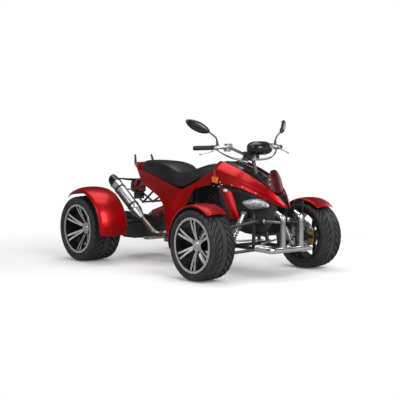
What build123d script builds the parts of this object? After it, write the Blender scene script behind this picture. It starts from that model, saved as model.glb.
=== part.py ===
from build123d import *
import os
from math import cos, hypot, radians, sin

# Quad bike, road-legal racing style: millimetres, Z up, front towards -Y, left side towards +X.
# The origin is on the floor, midway along the overall length.

# Overall layout
WHEELBASE = 1400.0
BODY_OVERHANG = 600.0          # of the reference length, beyond the wheelbase
FRONT_AXLE_SHARE = -0.3295     # along
FRONT_TRACK = 1048.0
REAR_TRACK = 1056.0
BODY_WIDTH = 400.0             # reference width of the bodywork, for the shares across
BODY_HEIGHT = 1000.0           # reference height of the bodywork, for the shares up
MIDDLE_SHIFT_SHARE = 0.0065    # brings the origin midway along the overall length

# Wheels and tyres
FRONT_TYRE_RADIUS = 248.5
FRONT_TYRE_WIDTH = 205.0
REAR_TYRE_RADIUS = 259.0
REAR_TYRE_WIDTH = 265.0
RIM_RADIUS = 182.0
FLANGE_RADIUS = 195.0
FLANGE_THICKNESS = 9.0
BARREL_WALL = 7.0
RIM_INSET = 10.0
BEAD_GAP = 1.5
TREAD_DROP = 6.0
BULGE_SHARE = 0.45
SHOULDER_SHARE = 0.86
FRONT_DISH = 47.0
REAR_DISH = 82.0
SPOKE_PAIRS = 6
SPOKE_WIDTH = 13.0
SPOKE_DEPTH = 20.0
SPOKE_SPREAD_ANGLE = 6.5   # degrees from the pair's middle to each spoke
SPOKE_LIP_DROP = 9.0
HUB_RADIUS = 46.0
HUB_CAP_RADIUS = 27.0
HUB_CAP_HEIGHT = 12.0
HUB_INSET = 82.0           # from the wheel's middle in to the hub's inner face
REAR_HUB_INSET = 108.0
SPINDLE_RADIUS = 14.0
SPINDLE_LENGTH = 150.0
RUNNING_FIT = 0.06
AXLE_RADIUS = 18.0
DISC_RADIUS = 120.0
DISC_THICKNESS = 4.0
DISC_INSET = 70.0

# Steering
KINGPIN_INSET = 124.0      # from the wheel's middle in to the steering axis
KINGPIN_RADIUS = 17.0
KINGPIN_PIN_RADIUS = 7.0
BALL_RISE = 87.5           # upper and lower ball joints above and below the axle
BALL_DROP = 84.5
ARM_EYE_RADIUS = 18.0
ARM_EYE_HEIGHT = 28.0
JOINT_GAP = 1.0
COLUMN_TOP_SHARES = (0.0, -0.3000, 0.845)   # across, along, up
COLUMN_FOOT_SHARES = (0.0, -0.3795, 0.250)
COLUMN_RADIUS = 14.0
COLUMN_HOLE_GAP = 8.0
COLUMN_BEARING_RADIUS = 24.0
COLUMN_BEARING_HEIGHT = 30.0
PITMAN_LENGTH = 60.0
PITMAN_WIDTH = 24.0
PITMAN_THICKNESS = 8.0
PITMAN_BOLT_RADIUS = 5.0
PITMAN_BOLT_HEIGHT = 22.0
STEERING_ARM_LENGTH = 58.0
STEERING_ARM_DROP = 10.5   # below the axle
STEERING_ARM_THICKNESS = 10.0
STEERING_ARM_RADIUS = 13.0
ROD_RADIUS = 7.0
ROD_EYE_RADIUS = 14.0
ROD_EYE_HEIGHT = 12.0
ROD_EYE_CLEARANCE = 3.0
ROD_STEM_START = 28.0
ROD_EYE_STEP = 14.0        # the rods' inner eyes lie this far above and below the pitman arm
BALL_STUD_RADIUS = 5.0

# Brake caliper on the knuckle
CALIPER_RADIUS = 104.0
CALIPER_LENGTH = 88.0
CALIPER_DEPTH = 46.0
CALIPER_WIDTH = 40.0
CALIPER_SLOT = 9.0
CALIPER_ARM_THICKNESS = 8.0
CALIPER_ARM_WIDTH = 26.0

# Fenders
FENDER_WALL = 4.0
FRONT_FENDER_CLEARANCE = 23.5   # over the tyre
FRONT_FENDER_INNER_HALF = 88.0  # from the wheel's middle
FRONT_FENDER_OUTER_HALF = 88.0
FRONT_FENDER_CROWN = 10.0
FRONT_FENDER_LIP = 12.0
FRONT_FENDER_AHEAD_ANGLE = 38.0
FRONT_FENDER_BEHIND_ANGLE = 100.0
FENDER_STAY_RADIUS = 7.0
FENDER_STAY_INSET = 117.0
FENDER_STAY_OFFSET = 45.0
REAR_FENDER_CLEARANCE = 37.0
REAR_FENDER_SHIFT_Y = -40.0
REAR_FENDER_SHIFT_Z = 8.0
REAR_FENDER_INNER_HALF = 126.0
REAR_FENDER_OUTER_HALF = 130.0
REAR_FENDER_CROWN = 26.0
REAR_FENDER_LIP = 16.0
REAR_FENDER_AHEAD_ANGLE = 98.0
REAR_FENDER_BEHIND_ANGLE = 37.0

# Suspension
ARM_TUBE_RADIUS = 11.0
ARM_INNER_SHARE = 0.375     # across
ARM_SPAN = 246.0
ARM_PIVOT_RADIUS = 15.0
ARM_PIVOT_LENGTH = 34.0
UPPER_ARM_SHARE = 0.400     # up
LOWER_ARM_SHARE = 0.200
ARM_SWEEP = 24.0            # the arms' pivots ahead of the axle
SHOCK_TOP_SHARES = (0.375, -0.336, 0.445)
SHOCK_FOOT_SHARE = 0.656        # way out along the lower arm
SHOCK_FOOT_SPAN_SHARE = 0.235   # way back between the arm's two tubes
SHOCK_BODY_RADIUS = 16.0
SHOCK_ROD_RADIUS = 8.0
SPRING_RADIUS = 26.0
SPRING_WIRE = 5.0
SPRING_TURNS = 9
REAR_SHOCK_RADIUS = 20.0
REAR_SHOCK_TOP_SHARES = (-0.150, 0.137, 0.440)
REAR_SHOCK_FOOT_SHARES = (-0.150, 0.275, 0.350)
REAR_SPRING_RADIUS = 34.0
SPRING_START_SHARE = 0.16
SPRING_LENGTH_SHARE = 0.62
SWINGARM_GAP = 1.3
SWINGARM_PLATE = 34.0
SWINGARM_PIVOT_SHARES = (0.115, 0.300)   # along, up
SWINGARM_PIVOT_RADIUS = 30.0
SWINGARM_BOLT_RADIUS = 12.0
AXLE_CARRIER_RADIUS = 78.0
REAR_STAY_RADIUS = 8.0
REAR_STAY_REACH = 32.0
SWINGARM_SIDE_SHARES = (   # along, up
    (0.103, 0.328), (0.120, 0.342), (0.240, 0.362), (0.395, 0.372), (0.417, 0.345),
    (0.415, 0.180), (0.395, 0.158), (0.320, 0.160), (0.220, 0.182), (0.103, 0.270),
)
REAR_STAY_ANGLES = (-16.0, 78.0)   # ahead of the fender's top
REAR_STAY_SHARES = (0.96, 0.60)    # of the way from pivot to axle

# Frame
FRAME_TUBE_RADIUS = 13.0
FRAME_BEND_RADIUS = 40.0
CROSS_TUBE_RADIUS = 11.0
UPPER_BEARING_SHARE = 0.7307   # up the steering column
LOWER_BEARING_SHARE = 0.0731
CRADLE_SHARE = 0.165           # up
CRADLE_FRONT_SHARE = -0.150    # along
CRADLE_REAR_SHARE = 0.055
UPRIGHT_TOP_SHARE = 0.620      # up
REAR_CROSS_SHARE = 0.450
DOWN_TUBE_TOP_SHARES = (-0.210, 0.745)   # along, up
SHOCK_MOUNT_RADIUS = 10.0
SHOCK_PIN_RADIUS = 7.5
PANEL_POST_RADIUS = 6.0
TOP_POST_SHARES = (0.270, -0.210, 0.750)       # across, along, up
TOP_POST_END_SHARES = (0.120, -0.210, 0.7955)
NOSE_POST_SHARE = 0.050                        # across
NOSE_POST_END_SHARES = (0.050, -0.425, 0.5980)
LAMP_POST_SHARE = 0.57                         # up the nose post
LAMP_POST_END_SHARES = (0.235, -0.419, 0.512)
SIDE_POST_SHARE = 0.406                        # up the down tube
SIDE_POST_END_SHARES = (0.534, -0.265, 0.540)
SEAT_RAIL_SHARES = (   # across, along, up
    (0.280, -0.210, 0.752), (0.280, -0.160, 0.735), (0.3000, 0.0085, 0.5715), (0.235, 0.309, 0.7195),
)

# Engine
ENGINE_CASE_WIDTH = 200.0
ENGINE_CASE_SHARES = (-0.145, 0.070, 0.390)   # front, rear, top
ENGINE_CHAMFER = 30.0
ENGINE_COVER_RADIUS = 84.0
ENGINE_COVER_X = 138.0
ENGINE_COVER_SHARE = -0.020   # along
CYLINDER_SHARE = -0.075
CYLINDER_LEAN_ANGLE = 38.0
CYLINDER_LENGTH = 230.0
CYLINDER_CORE = 100.0
CYLINDER_WIDTH = 150.0
CYLINDER_FINS = 9
FIN_THICKNESS = 7.0

# Bodywork
PANEL_WALL = 5.0
SEAT_CORNER = 18.0
SMALL_GAP = 0.3
SCREEN_WALL = 4.0
SCREEN_FOOT_SHARES = (-0.440, 0.590)   # along, up
SCREEN_BACK_SHARE = -0.430
SCREEN_BOW = 120.0
SCREEN_LEAN_SHARE = 0.35               # back, for each part up
SCREEN_SWEEP = 180.0
SCREEN_ROOM = 540.0
SCREEN_SHARES = (   # across, up of the left edge, from the foot to the top
    (0.100, 0.592), (0.205, 0.640), (0.190, 0.690), (0.070, 0.752), (0.0, 0.758),
)
FRONT_PANEL_SHARES = (   # along, then (across, up) from the top edge over the crease to the lower edge
    (-0.192, ((0.290, 0.815), (0.480, 0.755), (0.505, 0.655))),
    (-0.275, ((0.270, 0.768), (0.462, 0.704), (0.480, 0.640))),
    (-0.352, ((0.245, 0.712), (0.400, 0.662), (0.425, 0.618))),
    (-0.4115, ((0.195, 0.642), (0.285, 0.606), (0.285, 0.556))),
    (-0.445, ((0.145, 0.598), (0.200, 0.563), (0.190, 0.524))),
    (-0.484, ((0.022, 0.505), (0.050, 0.499), (0.045, 0.488))),
)
CENTRE_PANEL_SHARES = (   # along, then (across, up) from the middle to the left edge
    (-0.191, ((0.0, 0.806), (0.120, 0.808), (0.286, 0.803))),
    (-0.275, ((0.0, 0.764), (0.120, 0.766), (0.266, 0.756))),
    (-0.352, ((0.0, 0.702), (0.120, 0.704), (0.241, 0.700))),
    (-0.4115, ((0.0, 0.622), (0.100, 0.624), (0.191, 0.630))),
    (-0.445, ((0.0, 0.570), (0.060, 0.572), (0.141, 0.586))),
    (-0.480, ((0.0, 0.500), (0.010, 0.501), (0.030, 0.502))),
)
HEADLAMP_SHARES = (   # along, then (across, up) round the lamp
    (-0.337, ((0.420, 0.516), (0.440, 0.523), (0.425, 0.531), (0.405, 0.524))),
    (-0.362, ((0.345, 0.468), (0.430, 0.500), (0.410, 0.548), (0.320, 0.540))),
    (-0.395, ((0.290, 0.474), (0.375, 0.505), (0.355, 0.560), (0.240, 0.552))),
    (-0.420, ((0.235, 0.486), (0.310, 0.508), (0.285, 0.545), (0.190, 0.545))),
    (-0.437, ((0.215, 0.492), (0.238, 0.499), (0.225, 0.510), (0.200, 0.505))),
)
INDICATOR_SHARES = (   # across, along, up
    (0.505, -0.1975, 0.660), (0.505, -0.1975, 0.700), (0.480, -0.225, 0.695), (0.480, -0.225, 0.650),
)
INDICATOR_DEPTH = 12.0
LOWER_PANEL_SHARES = (   # across, along, up
    (0.540, -0.238, 0.632), (0.540, -0.295, 0.600), (0.540, -0.325, 0.470),
    (0.540, -0.342, 0.405), (0.540, -0.300, 0.400), (0.540, -0.262, 0.520),
)
REAR_PANEL_SHARES = (   # along, up
    (-0.183, 0.750), (-0.095, 0.655), (0.006, 0.584), (0.140, 0.651), (0.279, 0.717), (0.349, 0.768), (0.350, 0.742),
    (0.280, 0.612), (0.154, 0.515), (0.118, 0.455), (0.102, 0.335), (0.092, 0.200), (0.050, 0.130),
    (0.039, 0.359), (0.012, 0.401), (-0.016, 0.449), (-0.040, 0.519), (-0.070, 0.597), (-0.183, 0.640),
)
REAR_PANEL_BEND_SHARES = (   # up, then (along, across) from front to rear
    (0.120, ((-0.190, 0.500), (0.060, 0.500), (0.360, 0.400))),
    (0.360, ((-0.190, 0.500), (0.060, 0.480), (0.360, 0.380))),
    (0.590, ((-0.190, 0.500), (0.006, 0.455), (0.360, 0.340))),
    (0.780, ((-0.190, 0.470), (0.006, 0.420), (0.360, 0.240))),
)
SEAT_SHARES = (   # along, half width at top, top, half width at foot, foot
    (-0.165, 0.160, 0.790, 0.250, 0.7522),
    (-0.077, 0.210, 0.786, 0.400, 0.6670),
    (0.0085, 0.260, 0.722, 0.440, 0.5860),
    (0.0605, 0.290, 0.714, 0.430, 0.6114),
    (0.1165, 0.320, 0.768, 0.410, 0.6387),
    (0.1675, 0.320, 0.792, 0.390, 0.6636),
    (0.279, 0.290, 0.797, 0.340, 0.7180),
    (0.315, 0.220, 0.790, 0.300, 0.7355),
)
TAIL_COVER_SHARES = (   # along, half width, top, foot
    (0.3152, 0.320, 0.772, 0.715), (0.350, 0.280, 0.776, 0.740), (0.372, 0.150, 0.772, 0.752),
)
GRAB_RAIL_SHARES = (   # across, along, up
    (0.235, 0.3080, 0.7192), (0.232, 0.3620, 0.757), (0.205, 0.3715, 0.834),
)
GRAB_RAIL_RADIUS = 8.0
GRAB_RAIL_BEND = 12.0

# Tail lamp and plate bracket
BRACKET_ROOT_SHARE = 0.490                    # up the frame's upright
BRACKET_KNEE_SHARES = (0.125, 0.340, 0.447)   # across, along, up
BRACKET_STAY_SHARES = (0.2672, 0.160, 0.646)  # on the seat rail
BRACKET_END_SHARES = (0.105, 0.4012, 0.508)
BRACKET_SHARE = 0.4025                        # along, where the plate stands
BRACKET_PLATE_SHARES = (0.466, 0.636)         # up, from foot to top
BRACKET_HALF = 42.0
BRACKET_PLATE = 8.0
BRACKET_TUBE_RADIUS = 8.0
BRACKET_KNEE_RADIUS = 11.0
LAMP_ARM_SHARES = (0.495, 0.4025, 0.645)      # across, along, up
LAMP_ARM_HEIGHT = 22.0
LAMP_ARM_DEPTH = 14.0
PLATE_HOLE_SPACING = 60.0
PLATE_HOLE_SHARE = 0.482                      # up
PLATE_HOLE_RADIUS = 3.5
TAIL_LAMP_WIDTH = 116.0
TAIL_LAMP_DEPTH = 62.0
TAIL_LAMP_HEIGHT = 98.0
TAIL_LAMP_CORNER = 36.0
TAIL_LAMP_SHARE = 0.570                       # up

# Bumper
BUMPER_TUBE_RADIUS = 20.5
BUMPER_UPRIGHT_RADIUS = 20.0
BUMPER_BEND_RADIUS = 46.0
BUMPER_STAY_RADIUS = 9.0
BUMPER_LOW_SHARES = (   # across, along, up of the left half of the low tube
    (0.475, -0.50275, 0.209), (0.6125, -0.45025, 0.225),
)
BUMPER_UPRIGHT_SHARES = (   # across, along, up, from the foot over the top into the hook
    (0.215, -0.50275, 0.209), (0.215, -0.50275, 0.430), (0.215, -0.4725, 0.460),
)
BUMPER_STAY_SHARES = (0.215, -0.50275, 0.400)

# Handlebar
BAR_RADIUS = 11.0
BAR_BEND_RADIUS = 50.0
GRIP_RADIUS = 17.0
GRIP_LENGTH = 128.0
MIRROR_STALK_RADIUS = 5.5
CABLE_RADIUS = 3.5
CABLE_BEND_RADIUS = 40.0
CLAMP_WIDTH = 96.0
CLAMP_LENGTH = 72.0
CLAMP_HEIGHT = 48.0
BAR_SHARES = (   # across, along, up of the left half, from the middle out
    (0.150, -0.2830, 0.864), (0.400, -0.2755, 0.905), (0.660, -0.2735, 0.912), (1.070, -0.2235, 0.908),
)
GRIP_INSET = 8.0
PERCH_LENGTH = 44.0
PERCH_RADIUS = 18.0
RESERVOIR_NECK_RADIUS = 12.0
LEVER_RADIUS = 4.5
LEVER_KNEE_RADIUS = 5.3
LEVER_BALL_RADIUS = 7.5
LEVER_SHARES = ((0.830, -0.2772, 0.890), (1.0725, -0.2630, 0.866))   # across, along, up
RESERVOIR_SHARES = (0.500, -0.2810, 0.924)
RESERVOIR_WIDTH = 52.0
RESERVOIR_DEPTH = 38.0
RESERVOIR_HEIGHT = 34.0
POD_SHARES = (   # along, half width, middle height, half height
    (-0.304, 0.150, 0.902, 0.032), (-0.316, 0.225, 0.904, 0.050),
    (-0.350, 0.235, 0.906, 0.050), (-0.376, 0.130, 0.900, 0.026),
)
POD_CORNER_SHARE = 0.62
POD_MOUNT_SHARES = (0.0, -0.322, 0.890)
POD_STALK_RADIUS = 9.0
MIRROR_BASE_SHARES = (0.700, -0.2685, 0.925)
MIRROR_KNEE_SHARES = (0.7225, -0.2685, 0.978)
MIRROR_INNER_SHARES = (0.8475, -0.2625, 1.022)
MIRROR_OUTER_SHARES = (1.1925, -0.2105, 1.105)
MIRROR_RISE = 34.0
MIRROR_DROP = 42.0
MIRROR_DEPTH = 32.0
MIRROR_OVERLAP = 30.0
CABLE_SHARES = (   # across, along, up
    (0.720, -0.269, 0.895), (0.600, -0.290, 0.850), (0.320, -0.302, 0.815), (0.030, -0.3035, 0.820),
)

# Exhaust
MUFFLER_RADIUS = 45.0
MUFFLER_WALL = 3.0
MUFFLER_FRONT_SHARES = (-0.650, 0.2000, 0.345)   # across, along, up
MUFFLER_REAR_SHARES = (-0.650, 0.3800, 0.600)
MUFFLER_CONE_SHARE = 0.22
TIP_LENGTH = 86.0
TIP_CUT_LENGTH = 64.0
TIP_SLANT_ANGLE = 24.0
TIP_MOUTH_SHARE = 0.80
TIP_ROOM = 180.0
HEADER_SHARES = (   # across, along, up
    (-0.150, -0.131, 0.470), (-0.4025, -0.1075, 0.400), (-0.4025, -0.040, 0.262),
    (-0.4025, 0.116, 0.238), (-0.650, 0.116, 0.238),
)
HEADER_BEND = 38.0

# Footrests
FOOTREST_SHARES = (0.8625, 0.120, 0.196)   # across to the tip, along, up
FOOT_PLATE = 8.0
FOOT_PLATE_LENGTH = 70.0
FOOT_PLATE_HEIGHT = 66.0
FOOT_PEG_WIDTH = 62.0
FOOT_PEG_HEIGHT = 20.0
PIPE_RADIUS = 19.0

os.makedirs("parts", exist_ok=True)

BODY_LENGTH = WHEELBASE + BODY_OVERHANG
MIDDLE_SHIFT_Y = MIDDLE_SHIFT_SHARE * BODY_LENGTH
FRONT_AXLE_Y = FRONT_AXLE_SHARE * BODY_LENGTH
REAR_AXLE_Y = FRONT_AXLE_Y + WHEELBASE
FRONT_AXLE_Z = FRONT_TYRE_RADIUS
REAR_AXLE_Z = REAR_TYRE_RADIUS
RIGHT = -1
LEFT = 1
QUARTER_ANGLE = 90.0
SIDES = (("left", LEFT), ("right", RIGHT))

FRONT_WHEEL_X = FRONT_TRACK / 2
REAR_WHEEL_X = REAR_TRACK / 2
KINGPIN_X = FRONT_WHEEL_X - KINGPIN_INSET
DISC_X = FRONT_WHEEL_X - DISC_INSET
UPPER_BALL_Z = FRONT_AXLE_Z + BALL_RISE
LOWER_BALL_Z = FRONT_AXLE_Z - BALL_DROP
STEERING_ARM_Z = FRONT_AXLE_Z - STEERING_ARM_DROP
FRONT_FENDER_RADIUS = FRONT_TYRE_RADIUS + FRONT_FENDER_CLEARANCE
FRONT_FENDER_INNER_X = FRONT_WHEEL_X - FRONT_FENDER_INNER_HALF
REAR_FENDER_RADIUS = REAR_TYRE_RADIUS + REAR_FENDER_CLEARANCE
REAR_FENDER_INNER_X = REAR_WHEEL_X - REAR_FENDER_INNER_HALF
ARM_INNER_X = ARM_INNER_SHARE * BODY_WIDTH
ARM_PIVOT_Y = FRONT_AXLE_Y - ARM_SWEEP
UPPER_ARM_Z = UPPER_ARM_SHARE * BODY_HEIGHT
LOWER_ARM_Z = LOWER_ARM_SHARE * BODY_HEIGHT
RAIL_X = ARM_INNER_X - ARM_PIVOT_RADIUS - FRAME_TUBE_RADIUS - SMALL_GAP
RAIL_FRONT_Y = ARM_PIVOT_Y - ARM_SPAN / 2 - ARM_PIVOT_LENGTH
RAIL_REAR_Y = ARM_PIVOT_Y + ARM_SPAN / 2 + ARM_PIVOT_LENGTH
CRADLE_Z = CRADLE_SHARE * BODY_HEIGHT
SWINGARM_HALF_WIDTH = RAIL_X + FRAME_TUBE_RADIUS + SWINGARM_GAP + SWINGARM_PLATE
SWINGARM_PIVOT_Y = SWINGARM_PIVOT_SHARES[0] * BODY_LENGTH
SWINGARM_PIVOT_Z = SWINGARM_PIVOT_SHARES[1] * BODY_HEIGHT


def spot(across, along, up):
    """A point from shares of the bodywork's width, length and height."""
    return Vector(across * BODY_WIDTH, along * BODY_LENGTH, up * BODY_HEIGHT)


def save(name, shapes):
    """One node's file, with one solid or several that do not touch."""
    pieces = shapes if isinstance(shapes, list) else [shapes]
    solids = [Pos(0, MIDDLE_SHIFT_Y, 0) * solid for piece in pieces for solid in piece.solids()]
    export_step(solids[0] if len(solids) == 1 else Compound(solids), "parts/" + name + ".step")


def mirror_across(shape):
    """The same piece on the other side of the middle plane."""
    return mirror(shape, about=Plane.YZ)


def on_side(shape, side):
    """A piece modelled on the left, on the side asked for."""
    return shape if side == LEFT else mirror_across(shape)


def pair(shape):
    """A left piece with its right twin."""
    return [shape, mirror_across(shape)]


def fused(shapes):
    """All the shapes joined, one after another."""
    body = shapes[0]
    for shape in shapes[1:]:
        body = body + shape
    return body


def rod(start, end, radius):
    """A round bar between two points."""
    start = Vector(start)
    end = Vector(end)
    return extrude(Plane(start, z_dir=end - start) * Circle(radius), amount=(end - start).length)


def tube(points, bend, radius):
    """A bent round tube through the points."""
    path = FilletPolyline(*points, radius=bend)
    start = Plane(path @ 0, z_dir=path % 0)
    return sweep(start * Circle(radius), path=path)


def prism(points, along):
    """A flat outline pushed along a vector."""
    face = Face(Wire.make_polygon(points))
    return extrude(face, amount=along.length, dir=along.normalized())


def facets(sections):
    """A body with flat facets through a few outlines."""
    faces = [Face(Wire.make_polygon(points)) for points in sections]
    return loft(faces, ruled=True)


def offset_line(line, wall):
    """An open line of (across, up) points shifted inwards by the wall."""
    shifted = []
    last = len(line) - 1
    for index, (x, z) in enumerate(line):
        x0, z0 = line[max(index - 1, 0)]
        x1, z1 = line[min(index + 1, last)]
        run = hypot(x1 - x0, z1 - z0)
        shifted.append((x + wall * (z1 - z0) / run, z - wall * (x1 - x0) / run))
    return shifted


def skin(stations, wall):
    """A thin panel through stations, each a distance along and a line of (across, up) points."""
    sections = []
    for y, line in stations:
        inner = offset_line(line, wall)
        outline = list(line) + inner[::-1]
        sections.append([Vector(x, y, z) for x, z in outline])
    return facets(sections)


def shared_stations(table):
    """Stations in millimetres from a table of body shares."""
    return [(along * BODY_LENGTH, [(x * BODY_WIDTH, z * BODY_HEIGHT) for x, z in line]) for along, line in table]


def turned(profile, start, sweep_angle):
    """A profile of (axial, radial) faces turned round the wheel's axis, from an angle above the rear."""
    return Rot(start, 0, 0) * revolve(profile, axis=Axis.X, revolution_arc=sweep_angle)


def disc_between(x0, x1, radius):
    """A cylinder along the wheel's axis."""
    return extrude(Plane((x0, 0, 0), z_dir=(1, 0, 0)) * Circle(radius), amount=x1 - x0)


# Wheels, each modelled with its axle at the origin and its outer face towards +X
def tyre(radius, width):
    bead = width / 2 - RIM_INSET - FLANGE_THICKNESS
    bulge_radius = RIM_RADIUS + (radius - RIM_RADIUS) * BULGE_SHARE
    shoulder = width / 2 * SHOULDER_SHARE
    seat = FLANGE_RADIUS + BEAD_GAP
    right = ThreePointArc((bead, seat), (width / 2, bulge_radius), (shoulder, radius - TREAD_DROP))
    tread = ThreePointArc((shoulder, radius - TREAD_DROP), (0, radius), (-shoulder, radius - TREAD_DROP))
    left = ThreePointArc((-shoulder, radius - TREAD_DROP), (-width / 2, bulge_radius), (-bead, seat))
    bead_line = Polyline((-bead, seat), (-bead, RIM_RADIUS), (bead, RIM_RADIUS), (bead, seat))
    return revolve(make_face(right + tread + left + bead_line), axis=Axis.X)


def rim(width, dish, hub_inner, bore):
    half = width / 2 - RIM_INSET
    bead = half - FLANGE_THICKNESS
    barrel_inside = RIM_RADIUS - BARREL_WALL
    barrel = Polyline(
        (half, barrel_inside), (half, FLANGE_RADIUS), (bead, FLANGE_RADIUS), (bead, RIM_RADIUS),
        (-bead, RIM_RADIUS), (-bead, FLANGE_RADIUS), (-half, FLANGE_RADIUS), (-half, barrel_inside),
        close=True)
    face_x = half - dish
    lip_x = half - SPOKE_LIP_DROP
    spoke_start = HUB_RADIUS - BARREL_WALL
    spoke_end = RIM_RADIUS - BARREL_WALL / 2
    spoke_side = Polyline(
        (face_x, spoke_start), (lip_x, spoke_end), (lip_x - SPOKE_DEPTH, spoke_end),
        (face_x - SPOKE_DEPTH, spoke_start), close=True)
    spoke = extrude(make_face(spoke_side), amount=SPOKE_WIDTH / 2, both=True)
    pieces = [revolve(make_face(barrel), axis=Axis.X), disc_between(hub_inner, face_x, HUB_RADIUS)]
    for number in range(SPOKE_PAIRS):
        middle = number * 360 / SPOKE_PAIRS
        pieces.append(Rot(middle - SPOKE_SPREAD_ANGLE, 0, 0) * spoke)
        pieces.append(Rot(middle + SPOKE_SPREAD_ANGLE, 0, 0) * spoke)
    pieces.append(disc_between(face_x, face_x + HUB_CAP_HEIGHT, HUB_CAP_RADIUS))
    wheel = fused(pieces)
    return wheel - disc_between(hub_inner, face_x, bore)


front_place = Pos(FRONT_WHEEL_X, FRONT_AXLE_Y, FRONT_AXLE_Z)
rear_place = Pos(REAR_WHEEL_X, REAR_AXLE_Y, REAR_AXLE_Z)

front_rim = rim(FRONT_TYRE_WIDTH, FRONT_DISH, -HUB_INSET, SPINDLE_RADIUS + RUNNING_FIT)
brake_disc = disc_between(-DISC_INSET - DISC_THICKNESS / 2, -DISC_INSET + DISC_THICKNESS / 2, DISC_RADIUS)
brake_disc -= disc_between(-DISC_INSET - DISC_THICKNESS, -DISC_INSET + DISC_THICKNESS, HUB_RADIUS - BARREL_WALL)
front_rim = front_place * (front_rim + brake_disc)
front_tyre = front_place * tyre(FRONT_TYRE_RADIUS, FRONT_TYRE_WIDTH)
rear_rim = rear_place * rim(REAR_TYRE_WIDTH, REAR_DISH, -REAR_HUB_INSET, AXLE_RADIUS)
rear_tyre = rear_place * tyre(REAR_TYRE_RADIUS, REAR_TYRE_WIDTH)
for name, side in SIDES:
    save("front_rim_" + name, on_side(front_rim, side))
    save("front_tyre_" + name, on_side(front_tyre, side))
    save("rear_tyre_" + name, on_side(rear_tyre, side))
save("rear_rims", pair(rear_rim))

shaft_end = REAR_WHEEL_X + REAR_TYRE_WIDTH / 2 - RIM_INSET - REAR_DISH
axle_shaft = disc_between(-shaft_end, shaft_end, AXLE_RADIUS)
save("axle_shaft", Pos(0, REAR_AXLE_Y, REAR_AXLE_Z) * axle_shaft)


# Steered knuckles: upright, spindle, steering arm, caliper and fender stays, modelled on the left
def knuckle_solid():
    upright_foot = LOWER_BALL_Z + ARM_EYE_HEIGHT / 2 + JOINT_GAP
    upright_top = UPPER_BALL_Z - ARM_EYE_HEIGHT / 2 - JOINT_GAP
    kingpin = Vector(KINGPIN_X, FRONT_AXLE_Y, 0)
    pin_foot = LOWER_BALL_Z - ARM_EYE_HEIGHT / 2
    pin_top = UPPER_BALL_Z + ARM_EYE_HEIGHT / 2
    hub_centre = Vector(KINGPIN_X, FRONT_AXLE_Y, FRONT_AXLE_Z)
    spindle_end = hub_centre + Vector(SPINDLE_LENGTH, 0, 0)
    arm_eye = kingpin + Vector(0, STEERING_ARM_LENGTH, STEERING_ARM_Z)
    arm_half = Vector(0, 0, STEERING_ARM_THICKNESS / 2)
    ball_top = arm_eye + arm_half + Vector(0, 0, ROD_EYE_HEIGHT + 2 * JOINT_GAP)
    caliper_y = FRONT_AXLE_Y - CALIPER_RADIUS
    caliper = Pos(DISC_X, caliper_y, FRONT_AXLE_Z) * Box(CALIPER_WIDTH, CALIPER_DEPTH, CALIPER_LENGTH)
    slot_half = CALIPER_SLOT / 2
    slot = Pos(0, FRONT_AXLE_Y, FRONT_AXLE_Z) * disc_between(
        DISC_X - slot_half, DISC_X + slot_half, DISC_RADIUS + slot_half)
    bracket_x = DISC_X - CALIPER_WIDTH / 2 - CALIPER_ARM_THICKNESS / 2
    bracket = Pos(bracket_x, FRONT_AXLE_Y - CALIPER_RADIUS / 2, FRONT_AXLE_Z) * Box(
        CALIPER_ARM_THICKNESS, CALIPER_RADIUS + CALIPER_DEPTH, CALIPER_ARM_WIDTH)
    pieces = [
        rod(kingpin + Vector(0, 0, upright_foot), kingpin + Vector(0, 0, upright_top), KINGPIN_RADIUS),
        rod(kingpin + Vector(0, 0, pin_foot), kingpin + Vector(0, 0, pin_top), KINGPIN_PIN_RADIUS),
        rod(hub_centre, spindle_end, SPINDLE_RADIUS),
        rod(hub_centre, Vector(bracket_x + CALIPER_ARM_THICKNESS / 2, FRONT_AXLE_Y, FRONT_AXLE_Z),
            CALIPER_ARM_WIDTH),
        prism([
            kingpin + Vector(-KINGPIN_RADIUS / 2, 0, STEERING_ARM_Z) - arm_half,
            kingpin + Vector(KINGPIN_RADIUS / 2, 0, STEERING_ARM_Z) - arm_half,
            arm_eye + Vector(STEERING_ARM_RADIUS / 2, 0, 0) - arm_half,
            arm_eye + Vector(-STEERING_ARM_RADIUS / 2, 0, 0) - arm_half], arm_half * 2),
        rod(arm_eye - arm_half, arm_eye + arm_half, STEERING_ARM_RADIUS),
        rod(arm_eye, ball_top, BALL_STUD_RADIUS),
        bracket,
        caliper - slot,
    ]
    lip_radius = FRONT_FENDER_RADIUS - FRONT_FENDER_LIP / 2
    for stay_side in (LEFT, RIGHT):
        offset = stay_side * FENDER_STAY_OFFSET
        lip_z = FRONT_AXLE_Z + (lip_radius ** 2 - offset ** 2) ** 0.5
        root_point = kingpin + Vector(0, 0, upright_top - KINGPIN_RADIUS)
        foot = Vector(FRONT_WHEEL_X - FENDER_STAY_INSET, FRONT_AXLE_Y + offset, upright_top)
        knee = Vector(foot.X, foot.Y, lip_z - FENDER_STAY_RADIUS)
        end = Vector(FRONT_FENDER_INNER_X - SMALL_GAP, FRONT_AXLE_Y + offset, lip_z)
        pieces.append(rod(root_point, foot, FENDER_STAY_RADIUS))
        pieces.append(rod(foot, knee, FENDER_STAY_RADIUS))
        pieces.append(rod(knee, end, FENDER_STAY_RADIUS / 2))
        pieces.append(Pos(*foot) * Sphere(FENDER_STAY_RADIUS))
        pieces.append(Pos(*knee) * Sphere(FENDER_STAY_RADIUS))
    return fused(pieces)


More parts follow.
